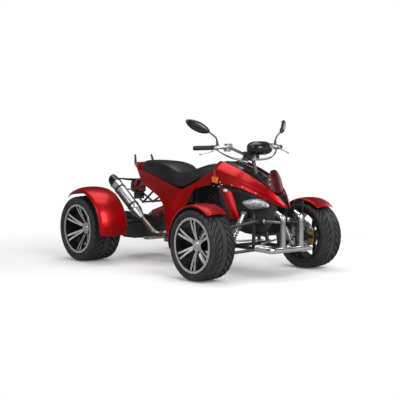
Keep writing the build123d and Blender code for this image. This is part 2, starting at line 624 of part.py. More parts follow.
def fender_profile(inner_x, outer_x, radius, crown, lip):
    middle = (inner_x + outer_x) / 2
    outside = radius + FENDER_WALL
    top = ThreePointArc((inner_x, outside), (middle, outside + crown), (outer_x, outside))
    under = ThreePointArc(
        (outer_x - FENDER_WALL, radius), (middle, radius + crown), (inner_x + FENDER_WALL, radius))
    outer_lip = Polyline(
        (outer_x, outside), (outer_x, radius - lip),
        (outer_x - FENDER_WALL, radius - lip), (outer_x - FENDER_WALL, radius))
    inner_lip = Polyline(
        (inner_x + FENDER_WALL, radius), (inner_x + FENDER_WALL, radius - lip),
        (inner_x, radius - lip), (inner_x, outside))
    return make_face(top + outer_lip + under + inner_lip)


front_fender_face = fender_profile(
    FRONT_FENDER_INNER_X, FRONT_WHEEL_X + FRONT_FENDER_OUTER_HALF,
    FRONT_FENDER_RADIUS, FRONT_FENDER_CROWN, FRONT_FENDER_LIP)
front_fender = Pos(0, FRONT_AXLE_Y, FRONT_AXLE_Z) * turned(
    front_fender_face, QUARTER_ANGLE - FRONT_FENDER_BEHIND_ANGLE,
    FRONT_FENDER_AHEAD_ANGLE + FRONT_FENDER_BEHIND_ANGLE)
knuckle = knuckle_solid()
for name, side in SIDES:
    save("knuckle_" + name, on_side(knuckle - front_fender, side))
    save("front_fender_" + name, on_side(front_fender, side))


# Rear fenders, on stays from the axle carrier
rear_fender_y = REAR_AXLE_Y + REAR_FENDER_SHIFT_Y
rear_fender_z = REAR_AXLE_Z + REAR_FENDER_SHIFT_Z
rear_fender_face = fender_profile(
    REAR_FENDER_INNER_X, REAR_WHEEL_X + REAR_FENDER_OUTER_HALF,
    REAR_FENDER_RADIUS, REAR_FENDER_CROWN, REAR_FENDER_LIP)
rear_fender = Pos(0, rear_fender_y, rear_fender_z) * turned(
    rear_fender_face, QUARTER_ANGLE - REAR_FENDER_BEHIND_ANGLE,
    REAR_FENDER_AHEAD_ANGLE + REAR_FENDER_BEHIND_ANGLE)
save("rear_fenders", pair(rear_fender))


# Swing arm: two deep side plates, the pivot tube, the axle carrier and the fender stays
def swingarm_solid():
    side_outline = [
        Vector(SWINGARM_HALF_WIDTH, along * BODY_LENGTH, up * BODY_HEIGHT) for along, up in SWINGARM_SIDE_SHARES]
    plate = prism(side_outline, Vector(-SWINGARM_PLATE, 0, 0))
    pieces = pair(plate)
    pivot = Vector(SWINGARM_HALF_WIDTH, SWINGARM_PIVOT_Y, SWINGARM_PIVOT_Z)
    axle = Vector(SWINGARM_HALF_WIDTH, REAR_AXLE_Y, REAR_AXLE_Z)
    across = Vector(2 * SWINGARM_HALF_WIDTH, 0, 0)
    pieces.append(rod(pivot, pivot - across, SWINGARM_BOLT_RADIUS))
    pieces.append(rod(axle, axle - across, AXLE_CARRIER_RADIUS))
    pad_point = spot(*REAR_SHOCK_FOOT_SHARES) - Vector(0, 0, REAR_SHOCK_RADIUS + FRAME_TUBE_RADIUS)
    pad_end = Vector(SWINGARM_HALF_WIDTH, pad_point.Y, pad_point.Z)
    pieces.append(rod(pad_end, pad_end - across, FRAME_TUBE_RADIUS))
    lip_radius = REAR_FENDER_RADIUS - REAR_FENDER_LIP / 2
    for angle, share in zip(REAR_STAY_ANGLES, REAR_STAY_SHARES):
        root_y = SWINGARM_PIVOT_Y + share * (REAR_AXLE_Y - SWINGARM_PIVOT_Y)
        lip = Vector(
            REAR_FENDER_INNER_X - SMALL_GAP,
            rear_fender_y - lip_radius * sin(radians(angle)),
            rear_fender_z + lip_radius * cos(radians(angle)))
        root_point = Vector(SWINGARM_HALF_WIDTH - SWINGARM_PLATE / 2, root_y, REAR_AXLE_Z + AXLE_CARRIER_RADIUS / 2)
        knee = Vector(lip.X - REAR_STAY_REACH, lip.Y, lip.Z)
        stay = [rod(root_point, knee, REAR_STAY_RADIUS), Pos(*knee) * Sphere(REAR_STAY_RADIUS),
                rod(knee, lip, REAR_STAY_RADIUS)]
        pieces += pair(fused(stay))
    return fused(pieces) - rod(axle, axle - across, AXLE_RADIUS + RUNNING_FIT)


save("swingarm", swingarm_solid())


# Front suspension arms and coil shocks
def wishbone(inner_z, outer_z):
    eye = Vector(KINGPIN_X, FRONT_AXLE_Y, outer_z)
    half = Vector(0, 0, ARM_EYE_HEIGHT / 2)
    pieces = [rod(eye - half, eye + half, ARM_EYE_RADIUS)]
    for end in (LEFT, RIGHT):
        pivot = Vector(ARM_INNER_X, ARM_PIVOT_Y + end * ARM_SPAN / 2, inner_z)
        reach = Vector(0, ARM_PIVOT_LENGTH / 2, 0)
        pieces.append(rod(pivot - reach, pivot + reach, ARM_PIVOT_RADIUS))
        pieces.append(rod(pivot, eye, ARM_TUBE_RADIUS))
    return pieces, eye, half


def shock_bar_end(end):
    """Where the shock's cross bar meets the lower arm's front or rear tube."""
    pivot = Vector(ARM_INNER_X, ARM_PIVOT_Y + end * ARM_SPAN / 2, LOWER_ARM_Z)
    eye = Vector(KINGPIN_X, FRONT_AXLE_Y, LOWER_BALL_Z)
    return pivot + (eye - pivot) * SHOCK_FOOT_SHARE


bar_front = shock_bar_end(RIGHT)
bar_rear = shock_bar_end(LEFT)
shock_foot = bar_front + (bar_rear - bar_front) * SHOCK_FOOT_SPAN_SHARE
shock_foot += Vector(0, 0, SHOCK_BODY_RADIUS + ARM_TUBE_RADIUS + SMALL_GAP)


def lower_wishbone():
    pieces, eye, half = wishbone(LOWER_ARM_Z, LOWER_BALL_Z)
    pieces.append(rod(bar_front, bar_rear, ARM_TUBE_RADIUS))
    return fused(pieces) - rod(eye - half, eye + half, KINGPIN_PIN_RADIUS + RUNNING_FIT)


def upper_wishbone():
    pieces, eye, half = wishbone(UPPER_ARM_Z, UPPER_BALL_Z)
    return fused(pieces) - rod(eye - half, eye + half, KINGPIN_PIN_RADIUS + RUNNING_FIT)


def coil_shock(top, foot, body_radius, rod_radius, spring_radius, turns):
    """A damper with its spring as a ribbed sleeve, one rib a turn."""
    length = (top - foot).length
    wire = SPRING_WIRE
    coil_foot = length * SPRING_START_SHARE
    coil_length = length * SPRING_LENGTH_SHARE
    pitch = coil_length / turns
    points = [(rod_radius, coil_foot)]
    for number in range(turns):
        start = coil_foot + number * pitch
        points.append((spring_radius - wire, start))
        points.append((spring_radius, start + pitch / 4))
        points.append((spring_radius, start + pitch / 2))
        points.append((spring_radius - wire, start + pitch * 3 / 4))
    points.append((spring_radius - wire, coil_foot + coil_length))
    points.append((body_radius, coil_foot + coil_length))
    points.append((body_radius, length))
    points.append((0, length))
    points.append((0, 0))
    points.append((rod_radius, 0))
    profile = make_face(Polyline(*points, close=True))
    damper = revolve(Plane.XZ * profile, axis=Axis.Z)
    eye = Vector(0, body_radius, 0)
    placed = Plane(foot, z_dir=top - foot) * damper
    eyes = [rod(point - eye, point + eye, body_radius) for point in (foot, top)]
    return fused([placed] + eyes)


save("front_arms", pair(upper_wishbone()) + pair(lower_wishbone()))
shock = coil_shock(
    spot(*SHOCK_TOP_SHARES), shock_foot, SHOCK_BODY_RADIUS, SHOCK_ROD_RADIUS, SPRING_RADIUS, SPRING_TURNS)
save("front_shocks", pair(shock))
rear_shock = coil_shock(
    spot(*REAR_SHOCK_TOP_SHARES), spot(*REAR_SHOCK_FOOT_SHARES), REAR_SHOCK_RADIUS, SHOCK_ROD_RADIUS,
    REAR_SPRING_RADIUS, SPRING_TURNS)
save("rear_shock", rear_shock)


# Steering column with its pitman arm and the bar clamp
column_foot = spot(*COLUMN_FOOT_SHARES)
column_top = spot(*COLUMN_TOP_SHARES)
column_axis = (column_top - column_foot).normalized()
pitman_direction = Vector(0, column_axis.Z, -column_axis.Y)
pitman_eye = column_foot + pitman_direction * PITMAN_LENGTH

bar_points = []
for side in (RIGHT, LEFT):
    stations = BAR_SHARES if side == LEFT else BAR_SHARES[::-1]
    bar_points += [spot(side * across, along, up) for across, along, up in stations]
handlebar = tube(bar_points, BAR_BEND_RADIUS, BAR_RADIUS)
bar_end = bar_points[-1]
bar_run = (bar_points[-1] - bar_points[-2]).normalized()
bar_middle = (bar_points[len(BAR_SHARES) - 1] + bar_points[len(BAR_SHARES)]) / 2


def column_solid():
    arm_half = column_axis * (PITMAN_THICKNESS / 2)
    arm_side = Vector(PITMAN_WIDTH / 2, 0, 0)
    bolt_half = column_axis * PITMAN_BOLT_HEIGHT
    clamp_middle = (column_top + bar_middle) / 2
    clamp = Pos(*clamp_middle) * Box(CLAMP_WIDTH, CLAMP_LENGTH, CLAMP_HEIGHT)
    pieces = [
        rod(column_foot - arm_half, column_top, COLUMN_RADIUS),
        rod(column_foot - arm_half, column_foot + arm_half, COLUMN_BEARING_RADIUS),
        rod(pitman_eye - arm_half, pitman_eye + arm_half, PITMAN_WIDTH / 2),
        prism([column_foot - arm_half - arm_side, column_foot - arm_half + arm_side,
               pitman_eye - arm_half + arm_side, pitman_eye - arm_half - arm_side], arm_half * 2),
        rod(pitman_eye - bolt_half, pitman_eye + bolt_half, PITMAN_BOLT_RADIUS),
        clamp,
    ]
    return fused(pieces) - handlebar


save("steering_column", column_solid())
save("handlebar", handlebar)


# Tie rods, each from its knuckle's steering arm to the shared pitman bolt
def tie_rod(side):
    step = column_axis * (ROD_EYE_STEP * -side)
    inner = pitman_eye + step
    outer = Vector(side * KINGPIN_X, FRONT_AXLE_Y + STEERING_ARM_LENGTH,
                   STEERING_ARM_Z + STEERING_ARM_THICKNESS / 2 + JOINT_GAP + ROD_EYE_HEIGHT / 2)
    inner_half = column_axis * (ROD_EYE_HEIGHT / 2)
    outer_half = Vector(0, 0, ROD_EYE_HEIGHT / 2)
    body = fused([
        rod(inner - inner_half, inner + inner_half, ROD_EYE_RADIUS),
        rod(outer - outer_half, outer + outer_half, ROD_EYE_RADIUS),
        rod(inner, outer, ROD_RADIUS / 2 + RUNNING_FIT)])
    stem = (outer - inner).normalized() * ROD_STEM_START
    body += rod(inner + stem, outer - stem, ROD_RADIUS)
    body -= rod(inner - inner_half * 2, inner + inner_half * 2, PITMAN_BOLT_RADIUS + ROD_EYE_CLEARANCE)
    return body - rod(outer - outer_half * 2, outer + outer_half * 2, BALL_STUD_RADIUS + RUNNING_FIT)


for name, side in SIDES:
    save("tie_rod_" + name, tie_rod(side))


# Frame: rails, wishbone carriers, headstock, seat rails, rear uprights and the panels' posts
def panel_posts(nose_foot, down_foot, down_top):
    """Thin posts from the frame to the panels, headlamps and lower panels, on the left."""
    nose_end = spot(*NOSE_POST_END_SHARES)
    lamp_root = nose_foot + (nose_end - nose_foot) * LAMP_POST_SHARE
    side_root = down_foot + (down_top - down_foot) * SIDE_POST_SHARE
    ends = (
        (spot(*TOP_POST_SHARES), spot(*TOP_POST_END_SHARES)), (nose_foot, nose_end),
        (lamp_root, spot(*LAMP_POST_END_SHARES)), (side_root, spot(*SIDE_POST_END_SHARES)))
    return [rod(start, end, PANEL_POST_RADIUS) for start, end in ends]


def frame_solid():
    upper_bearing = column_foot + (column_top - column_foot) * UPPER_BEARING_SHARE
    lower_bearing = column_foot + (column_top - column_foot) * LOWER_BEARING_SHARE
    bearing_half = column_axis * (COLUMN_BEARING_HEIGHT / 2)
    seat_rail = [spot(*point) for point in SEAT_RAIL_SHARES]
    cradle_front = CRADLE_FRONT_SHARE * BODY_LENGTH
    post_y = RAIL_REAR_Y - FRAME_TUBE_RADIUS
    post_foot = Vector(RAIL_X, post_y, LOWER_ARM_Z)
    post_top = Vector(RAIL_X, post_y, UPPER_ARM_Z)
    down_top = Vector(RAIL_X, DOWN_TUBE_TOP_SHARES[0] * BODY_LENGTH, DOWN_TUBE_TOP_SHARES[1] * BODY_HEIGHT)
    front_foot = Vector(RAIL_X, lower_bearing.Y, LOWER_ARM_Z)
    front_top = Vector(RAIL_X, lower_bearing.Y, UPPER_ARM_Z)
    upright_foot = Vector(RAIL_X, SWINGARM_PIVOT_Y, CRADLE_Z)
    upright_top = Vector(RAIL_X, SWINGARM_PIVOT_Y, UPRIGHT_TOP_SHARE * BODY_HEIGHT)
    pivot = Vector(RAIL_X, SWINGARM_PIVOT_Y, SWINGARM_PIVOT_Z)
    tube_half = Vector(FRAME_TUBE_RADIUS, 0, 0)
    pieces = [
        rod(upper_bearing - bearing_half, upper_bearing + bearing_half, COLUMN_BEARING_RADIUS),
        rod(lower_bearing - bearing_half, lower_bearing + bearing_half, COLUMN_BEARING_RADIUS),
    ]
    half = [
        rod(Vector(RAIL_X, RAIL_FRONT_Y, UPPER_ARM_Z), Vector(RAIL_X, RAIL_REAR_Y, UPPER_ARM_Z), FRAME_TUBE_RADIUS),
        tube([Vector(RAIL_X, RAIL_FRONT_Y, LOWER_ARM_Z), Vector(RAIL_X, RAIL_REAR_Y, LOWER_ARM_Z),
              Vector(RAIL_X, cradle_front, CRADLE_Z), upright_foot], FRAME_BEND_RADIUS, FRAME_TUBE_RADIUS),
        rod(front_foot, front_top, FRAME_TUBE_RADIUS),
        rod(post_foot, post_top, FRAME_TUBE_RADIUS),
        rod(lower_bearing, Vector(RAIL_X, lower_bearing.Y, lower_bearing.Z), FRAME_TUBE_RADIUS),
        rod(upper_bearing, front_top, FRAME_TUBE_RADIUS),
        tube([upper_bearing] + seat_rail, FRAME_BEND_RADIUS, FRAME_TUBE_RADIUS),
        rod(upright_foot, upright_top, FRAME_TUBE_RADIUS),
        rod(post_top, down_top, FRAME_TUBE_RADIUS),
        rod(pivot - tube_half, pivot + tube_half, SWINGARM_PIVOT_RADIUS),
    ]
    shock_top = spot(*SHOCK_TOP_SHARES)
    mount = Vector(RAIL_X, shock_top.Y, shock_top.Z)
    half.append(rod(Vector(RAIL_X, shock_top.Y, UPPER_ARM_Z), mount + Vector(0, 0, SHOCK_MOUNT_RADIUS),
                    SHOCK_MOUNT_RADIUS))
    half.append(rod(mount, shock_top - Vector(SHOCK_BODY_RADIUS + SMALL_GAP, 0, 0), SHOCK_PIN_RADIUS))
    cross_front = RAIL_FRONT_Y + FRAME_TUBE_RADIUS
    nose_foot = Vector(NOSE_POST_SHARE * BODY_WIDTH, cross_front, UPPER_ARM_Z)
    half += panel_posts(nose_foot, post_top, down_top)
    for solid in half:
        pieces += pair(solid)
    cross_places = (
        (cross_front, LOWER_ARM_Z), (cross_front, UPPER_ARM_Z), (post_y, LOWER_ARM_Z),
        (cradle_front + FRAME_TUBE_RADIUS, CRADLE_Z), (CRADLE_REAR_SHARE * BODY_LENGTH, CRADLE_Z),
        (SWINGARM_PIVOT_Y, REAR_CROSS_SHARE * BODY_HEIGHT))
    for y, z in cross_places:
        pieces.append(rod(Vector(-RAIL_X, y, z), Vector(RAIL_X, y, z), CROSS_TUBE_RADIUS))
    shock_eye = spot(*REAR_SHOCK_TOP_SHARES)
    pieces.append(rod(Vector(shock_eye.X, SWINGARM_PIVOT_Y, shock_eye.Z),
                      shock_eye - Vector(0, REAR_SHOCK_RADIUS + SMALL_GAP, 0), SHOCK_MOUNT_RADIUS))
    body = fused(pieces)
    column_bore = rod(column_foot, column_top, COLUMN_RADIUS + RUNNING_FIT)
    pivot_bore = rod(Vector(-SWINGARM_HALF_WIDTH, SWINGARM_PIVOT_Y, SWINGARM_PIVOT_Z),
                     Vector(SWINGARM_HALF_WIDTH, SWINGARM_PIVOT_Y, SWINGARM_PIVOT_Z),
                     SWINGARM_BOLT_RADIUS + RUNNING_FIT)
    return body - column_bore - pivot_bore


frame = frame_solid()


# Engine: crankcase with round side covers, and a finned cylinder leaning forward
def engine_solid():
    case_floor = CRADLE_Z + FRAME_TUBE_RADIUS + SMALL_GAP
    front, rear, top = ENGINE_CASE_SHARES
    case_top = top * BODY_HEIGHT
    case_height = case_top - case_floor
    case_length = (rear - front) * BODY_LENGTH
    case = Pos(0, front * BODY_LENGTH + case_length / 2, case_floor + case_height / 2) * Box(
        ENGINE_CASE_WIDTH, case_length, case_height)
    case = chamfer(case.edges().filter_by(Axis.X), ENGINE_CHAMFER)
    cover_y = ENGINE_COVER_SHARE * BODY_LENGTH
    cover_z = case_floor + ENGINE_COVER_RADIUS
    covers = rod(Vector(-ENGINE_COVER_X, cover_y, cover_z), Vector(ENGINE_COVER_X, cover_y, cover_z),
                 ENGINE_COVER_RADIUS)
    cylinder_place = Pos(0, CYLINDER_SHARE * BODY_LENGTH, case_top - ENGINE_CHAMFER) * Rot(CYLINDER_LEAN_ANGLE, 0, 0)
    core = Pos(0, 0, CYLINDER_LENGTH / 2) * Box(CYLINDER_CORE, CYLINDER_CORE, CYLINDER_LENGTH)
    parts = [case, covers, cylinder_place * core]
    pitch = CYLINDER_LENGTH / CYLINDER_FINS
    for number in range(CYLINDER_FINS):
        fin = Pos(0, 0, (number + 1) * pitch - FIN_THICKNESS) * Box(CYLINDER_WIDTH, CYLINDER_WIDTH, FIN_THICKNESS)
        parts.append(cylinder_place * fin)
    return fused(parts)


engine = engine_solid()
save("engine", engine - frame)


# Bumper: low cross tube with swept ends, two hooked uprights and their stays
def bumper_solid():
    low = [spot(-x, along, up) for x, along, up in BUMPER_LOW_SHARES[::-1]]
    low += [spot(*point) for point in BUMPER_LOW_SHARES]
    pieces = [tube(low, BUMPER_BEND_RADIUS, BUMPER_TUBE_RADIUS)]
    upright_points = [spot(*point) for point in BUMPER_UPRIGHT_SHARES]
    upright = tube(upright_points, BUMPER_BEND_RADIUS, BUMPER_UPRIGHT_RADIUS)
    rail_end = RAIL_FRONT_Y - SMALL_GAP
    stay = rod(spot(*BUMPER_STAY_SHARES), Vector(RAIL_X, rail_end, UPPER_ARM_Z), BUMPER_STAY_RADIUS)
    low_stay = rod(upright_points[0], Vector(RAIL_X, rail_end, LOWER_ARM_Z), BUMPER_STAY_RADIUS)
    for solid in (upright, stay, low_stay):
        pieces += pair(solid)
    return fused(pieces)


save("bumper", bumper_solid() - frame)


# Bodywork panels from stations along the body
front_panel = skin(shared_stations(FRONT_PANEL_SHARES), -PANEL_WALL)
save("front_panels", pair(front_panel))


def centre_stations(table):
    """Full stations across the middle from their left half, the middle point first."""
    stations = []
    for along, line in table:
        left = [(across * BODY_WIDTH, up * BODY_HEIGHT) for across, up in line]
        right = [(-x, z) for x, z in left[:0:-1]]
        stations.append((along * BODY_LENGTH, right + left))
    return stations


centre_panel = skin(centre_stations(CENTRE_PANEL_SHARES), -PANEL_WALL)
centre_panel -= rod(column_foot, column_top, COLUMN_RADIUS + COLUMN_HOLE_GAP)
save("centre_panel", centre_panel - fused(pair(front_panel)))

screen_points = [(x * BODY_WIDTH, z * BODY_HEIGHT) for x, z in SCREEN_SHARES]


def screen_solid():
    outline = screen_points + [(-x, z) for x, z in screen_points[-2::-1]]
    flat = Plane.XZ * make_face(Polyline(*outline, close=True))
    block = Pos(0, SCREEN_BACK_SHARE * BODY_LENGTH, 0) * extrude(flat, amount=SCREEN_SWEEP, both=True)
    foot_y = SCREEN_FOOT_SHARES[0] * BODY_LENGTH
    foot_z = SCREEN_FOOT_SHARES[1] * BODY_HEIGHT
    bow = Plane((0, foot_y + SCREEN_BOW, foot_z), z_dir=(0, SCREEN_LEAN_SHARE, 1)) * (
        Circle(SCREEN_BOW) - Circle(SCREEN_BOW - SCREEN_WALL))
    shell = extrude(bow, amount=SCREEN_SWEEP, both=True)
    half_space = Pos(0, foot_y, foot_z) * Box(SCREEN_ROOM, SCREEN_SWEEP, SCREEN_ROOM)
    return block & shell & half_space


screen = screen_solid() - centre_panel - fused(pair(front_panel))
save("flyscreen", max(screen.solids(), key=lambda solid: solid.volume))

headlamp = facets([[spot(x, along, z) for x, z in line] for along, line in HEADLAMP_SHARES])
headlamp = headlamp - front_panel
save("headlamps", pair(headlamp))

indicator = prism([spot(*point) for point in INDICATOR_SHARES], Vector(INDICATOR_DEPTH, 0, 0))
indicator = max((indicator - front_panel).solids(), key=lambda solid: solid.volume)
save("front_indicators", pair(indicator))

lower_panel = prism([spot(*point) for point in LOWER_PANEL_SHARES], Vector(-PANEL_WALL, 0, 0)) - front_panel
save("lower_panels", pair(lower_panel))
save("frame", frame - centre_panel - fused(pair(headlamp)) - fused(pair(lower_panel)))


# Seat, one saddle from front hook to pillion end
def seat_station(half_top, top, half_foot, foot):
    corner = SEAT_CORNER
    return [(-half_foot, foot), (half_foot, foot), (half_top, top - corner), (half_top - corner, top),
            (-half_top + corner, top), (-half_top, top - corner)]


seat_sections = []
for along, half_top, top, half_foot, foot in SEAT_SHARES:
    line = seat_station(half_top * BODY_WIDTH, top * BODY_HEIGHT, half_foot * BODY_WIDTH, foot * BODY_HEIGHT)
    seat_sections.append([Vector(x, along * BODY_LENGTH, z) for x, z in line])
seat = facets(seat_sections)


# Rear side panels, boomerang shaped, dished outwards from the seat to the foot
def rear_panel_solid():
    outline = [(along * BODY_LENGTH, up * BODY_HEIGHT) for along, up in REAR_PANEL_SHARES]
    sheet = Plane.YZ * make_face(Polyline(*outline, close=True))
    block = extrude(sheet, amount=BODY_WIDTH)
    stations = []
    for up, line in REAR_PANEL_BEND_SHARES:
        stations.append([Vector(x * BODY_WIDTH, along * BODY_LENGTH, up * BODY_HEIGHT) for along, x in line]
                        + [Vector(x * BODY_WIDTH - PANEL_WALL, along * BODY_LENGTH, up * BODY_HEIGHT)
                           for along, x in line[::-1]])
    return block & facets(stations)


rear_panel = rear_panel_solid() - front_panel
rear_panel = max(rear_panel.solids(), key=lambda solid: solid.volume)
seat = seat - frame
save("seat", seat - fused(pair(rear_panel)) - centre_panel - fused(pair(front_panel)))
save("rear_panels", pair(rear_panel))

tail_sections = []
for along, half, top, foot in TAIL_COVER_SHARES:
    half, top, foot = half * BODY_WIDTH, top * BODY_HEIGHT, foot * BODY_HEIGHT
    y = along * BODY_LENGTH
    tail_sections.append([Vector(-half, y, foot), Vector(half, y, foot), Vector(half, y, top), Vector(-half, y, top)])
grab_rail = tube([spot(*point) for point in GRAB_RAIL_SHARES], GRAB_RAIL_BEND, GRAB_RAIL_RADIUS)
tail_cover = facets(tail_sections) - fused(pair(rear_panel)) - frame - fused(pair(grab_rail))
tail_cover = max(tail_cover.solids(), key=lambda solid: solid.volume)
save("tail_cover", tail_cover)
save("grab_rails", pair(grab_rail - frame - seat - rear_panel))


# Plate bracket: struts from the uprights and seat rails, an upright plate and the side lamp arms
def plate_bracket_solid():
    root_point = Vector(RAIL_X, SWINGARM_PIVOT_Y + FRAME_TUBE_RADIUS + SMALL_GAP, BRACKET_ROOT_SHARE * BODY_HEIGHT)
    knee = spot(*BRACKET_KNEE_SHARES)
    plate_end = spot(*BRACKET_END_SHARES)
    plate_y = BRACKET_SHARE * BODY_LENGTH
    foot, top = [share * BODY_HEIGHT for share in BRACKET_PLATE_SHARES]
    corner = Vector(BRACKET_HALF, plate_y, top)
    tip = spot(*LAMP_ARM_SHARES)
    arm_foot = Vector(0, 0, -LAMP_ARM_HEIGHT)
    arm = prism([corner, corner + arm_foot, tip + arm_foot / 2, tip], Vector(0, LAMP_ARM_DEPTH, 0))
    pieces = pair(arm) + pair(Pos(*knee) * Sphere(BRACKET_KNEE_RADIUS))
    for end in (root_point, spot(*BRACKET_STAY_SHARES), plate_end):
        pieces += pair(rod(end, knee, BRACKET_TUBE_RADIUS))
    pieces.append(Pos(0, plate_y, (foot + top) / 2) * Box(
        2 * (BRACKET_HALF + BRACKET_TUBE_RADIUS), BRACKET_PLATE, top - foot))
    hole_z = PLATE_HOLE_SHARE * BODY_HEIGHT
    holes = [rod(Vector(side * PLATE_HOLE_SPACING / 2, plate_y - BRACKET_PLATE, hole_z),
                 Vector(side * PLATE_HOLE_SPACING / 2, plate_y + BRACKET_PLATE, hole_z), PLATE_HOLE_RADIUS)
             for side in (LEFT, RIGHT)]
    return fused(pieces) - fused(holes)


plate_bracket = plate_bracket_solid() - frame
save("plate_bracket", plate_bracket)
lamp_face = BRACKET_SHARE * BODY_LENGTH + BRACKET_PLATE / 2
tail_lamp = Pos(0, lamp_face + TAIL_LAMP_DEPTH / 2, TAIL_LAMP_SHARE * BODY_HEIGHT) * Box(
    TAIL_LAMP_WIDTH, TAIL_LAMP_DEPTH, TAIL_LAMP_HEIGHT)
tail_lamp = fillet(tail_lamp.edges().filter_by(Axis.Y), TAIL_LAMP_CORNER)
save("tail_lamp", tail_lamp - plate_bracket)


# Exhaust: header pipe, muffler can, angled end cap
muffler_front = spot(*MUFFLER_FRONT_SHARES)
muffler_rear = spot(*MUFFLER_REAR_SHARES)
muffler_run = (muffler_rear - muffler_front).normalized()
muffler_length = (muffler_rear - muffler_front).length


def muffler_solid():
    cone = muffler_length * MUFFLER_CONE_SHARE
    profile = Polyline((0, 0), (PIPE_RADIUS + MUFFLER_WALL, 0), (MUFFLER_RADIUS, cone),
                       (MUFFLER_RADIUS, muffler_length), (0, muffler_length), close=True)
    can = revolve(Plane.XZ * make_face(profile), axis=Axis.Z)
    return Plane(muffler_front, z_dir=muffler_run) * can


muffler = muffler_solid()
save("muffler", muffler)


def tip_solid():
    side = Polyline((0, 0), (MUFFLER_RADIUS + MUFFLER_WALL, 0),
                    (MUFFLER_RADIUS * TIP_MOUTH_SHARE, TIP_LENGTH), (0, TIP_LENGTH), close=True)
    cap = revolve(Plane.XZ * make_face(side), axis=Axis.Z)
    mouth = Pos(0, 0, TIP_LENGTH / 2) * extrude(
        Circle(MUFFLER_RADIUS * TIP_MOUTH_SHARE - MUFFLER_WALL), amount=TIP_LENGTH)
    slant = Pos(0, 0, TIP_CUT_LENGTH) * Rot(-TIP_SLANT_ANGLE, 0, 0) * Pos(0, 0, TIP_ROOM / 2) * Box(
        TIP_ROOM, TIP_ROOM, TIP_ROOM)
    return Plane(muffler_rear, x_dir=(1, 0, 0), z_dir=muffler_run) * (cap - mouth - slant)


save("muffler_tip", tip_solid())

header_points = [spot(*point) for point in HEADER_SHARES] + [muffler_front]
header = tube(header_points, HEADER_BEND, PIPE_RADIUS)
save("header_pipe", header - engine - frame - muffler)


# Footrests: pegs on plates beside the frame
def footrest_solid():
    rail_side = RAIL_X + FRAME_TUBE_RADIUS
    tip = spot(*FOOTREST_SHARES)
    plate = Pos(rail_side + FOOT_PLATE / 2 + SMALL_GAP, tip.Y, tip.Z) * Box(
        FOOT_PLATE, FOOT_PLATE_LENGTH, FOOT_PLATE_HEIGHT)
    peg = Pos((rail_side + tip.X) / 2, tip.Y, tip.Z + FOOT_PEG_HEIGHT / 2) * Box(
        tip.X - rail_side - 2 * SMALL_GAP, FOOT_PEG_WIDTH, FOOT_PEG_HEIGHT)
    return plate + peg


footrest = footrest_solid() - frame
save("footrests", pair(footrest))


# Controls on the bar
grip_start = bar_end - bar_run * (GRIP_LENGTH + GRIP_INSET)
grip = rod(grip_start, grip_start + bar_run * GRIP_LENGTH, GRIP_RADIUS)
save("grips", pair(grip - handlebar))


def control_solid():
    perch = rod(grip_start - bar_run * (PERCH_LENGTH + SMALL_GAP), grip_start - bar_run * SMALL_GAP, PERCH_RADIUS)
    root_point = grip_start - bar_run * (PERCH_LENGTH / 2)
    lever = [root_point] + [spot(*point) for point in LEVER_SHARES]
    pieces = [perch]
    for start, end, ball in zip(lever, lever[1:], (LEVER_KNEE_RADIUS, LEVER_BALL_RADIUS)):
        pieces.append(rod(start, end, LEVER_RADIUS))
        pieces.append(Pos(*end) * Sphere(ball))
    reservoir = spot(*RESERVOIR_SHARES)
    pieces.append(Pos(*reservoir) * Box(RESERVOIR_WIDTH, RESERVOIR_DEPTH, RESERVOIR_HEIGHT))
    pieces.append(rod(root_point, reservoir, RESERVOIR_NECK_RADIUS))
    return fused(pieces) - handlebar


control = control_solid()
save("controls", pair(control))

pod_sections = []
for along, half, middle, half_height in POD_SHARES:
    width, height = half * BODY_WIDTH, half_height * BODY_HEIGHT
    z = middle * BODY_HEIGHT
    corner = POD_CORNER_SHARE
    ring = [(-width, 0), (-width * corner, height), (width * corner, height), (width, 0),
            (width * corner, -height), (-width * corner, -height)]
    pod_sections.append([Vector(x, along * BODY_LENGTH, z + up) for x, up in ring])
pod = facets(pod_sections)
pod_bar = rod(bar_middle, spot(*POD_MOUNT_SHARES), POD_STALK_RADIUS)
column = column_solid()
save("instrument_pod", (pod + pod_bar) - handlebar - column)


def mirror_solid():
    inner, outer = spot(*MIRROR_INNER_SHARES), spot(*MIRROR_OUTER_SHARES)
    middle = (inner + outer) / 2
    run = (outer - inner).normalized()
    away = run.cross(Vector(0, 0, 1)).normalized()
    rise = away.cross(run)
    top = middle + rise * MIRROR_RISE
    foot = middle - rise * MIRROR_DROP
    edge = Wire([Edge.make_three_point_arc(inner, top, outer), Edge.make_three_point_arc(outer, foot, inner)])
    head = extrude(Face(edge), amount=MIRROR_DEPTH, dir=away)
    base = spot(*MIRROR_BASE_SHARES)
    knee = spot(*MIRROR_KNEE_SHARES)
    stalk = [rod(base, knee, MIRROR_STALK_RADIUS), Pos(*knee) * Sphere(MIRROR_STALK_RADIUS),
             rod(knee, inner + run * MIRROR_OVERLAP + away * (MIRROR_DEPTH / 2), MIRROR_STALK_RADIUS)]
    return fused([head] + stalk)


mirror_piece = mirror_solid() - handlebar - control
mirror_piece = max(mirror_piece.solids(), key=lambda solid: solid.volume)
save("mirrors", pair(mirror_piece))

cable = tube([spot(*point) for point in CABLE_SHARES], CABLE_BEND_RADIUS, CABLE_RADIUS)
save("control_cables", pair(cable - control - column - handlebar - pod))
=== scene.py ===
from math import atan2, cos, hypot, pi, radians, sin

import bmesh
import bpy
from mathutils import Matrix, Vector


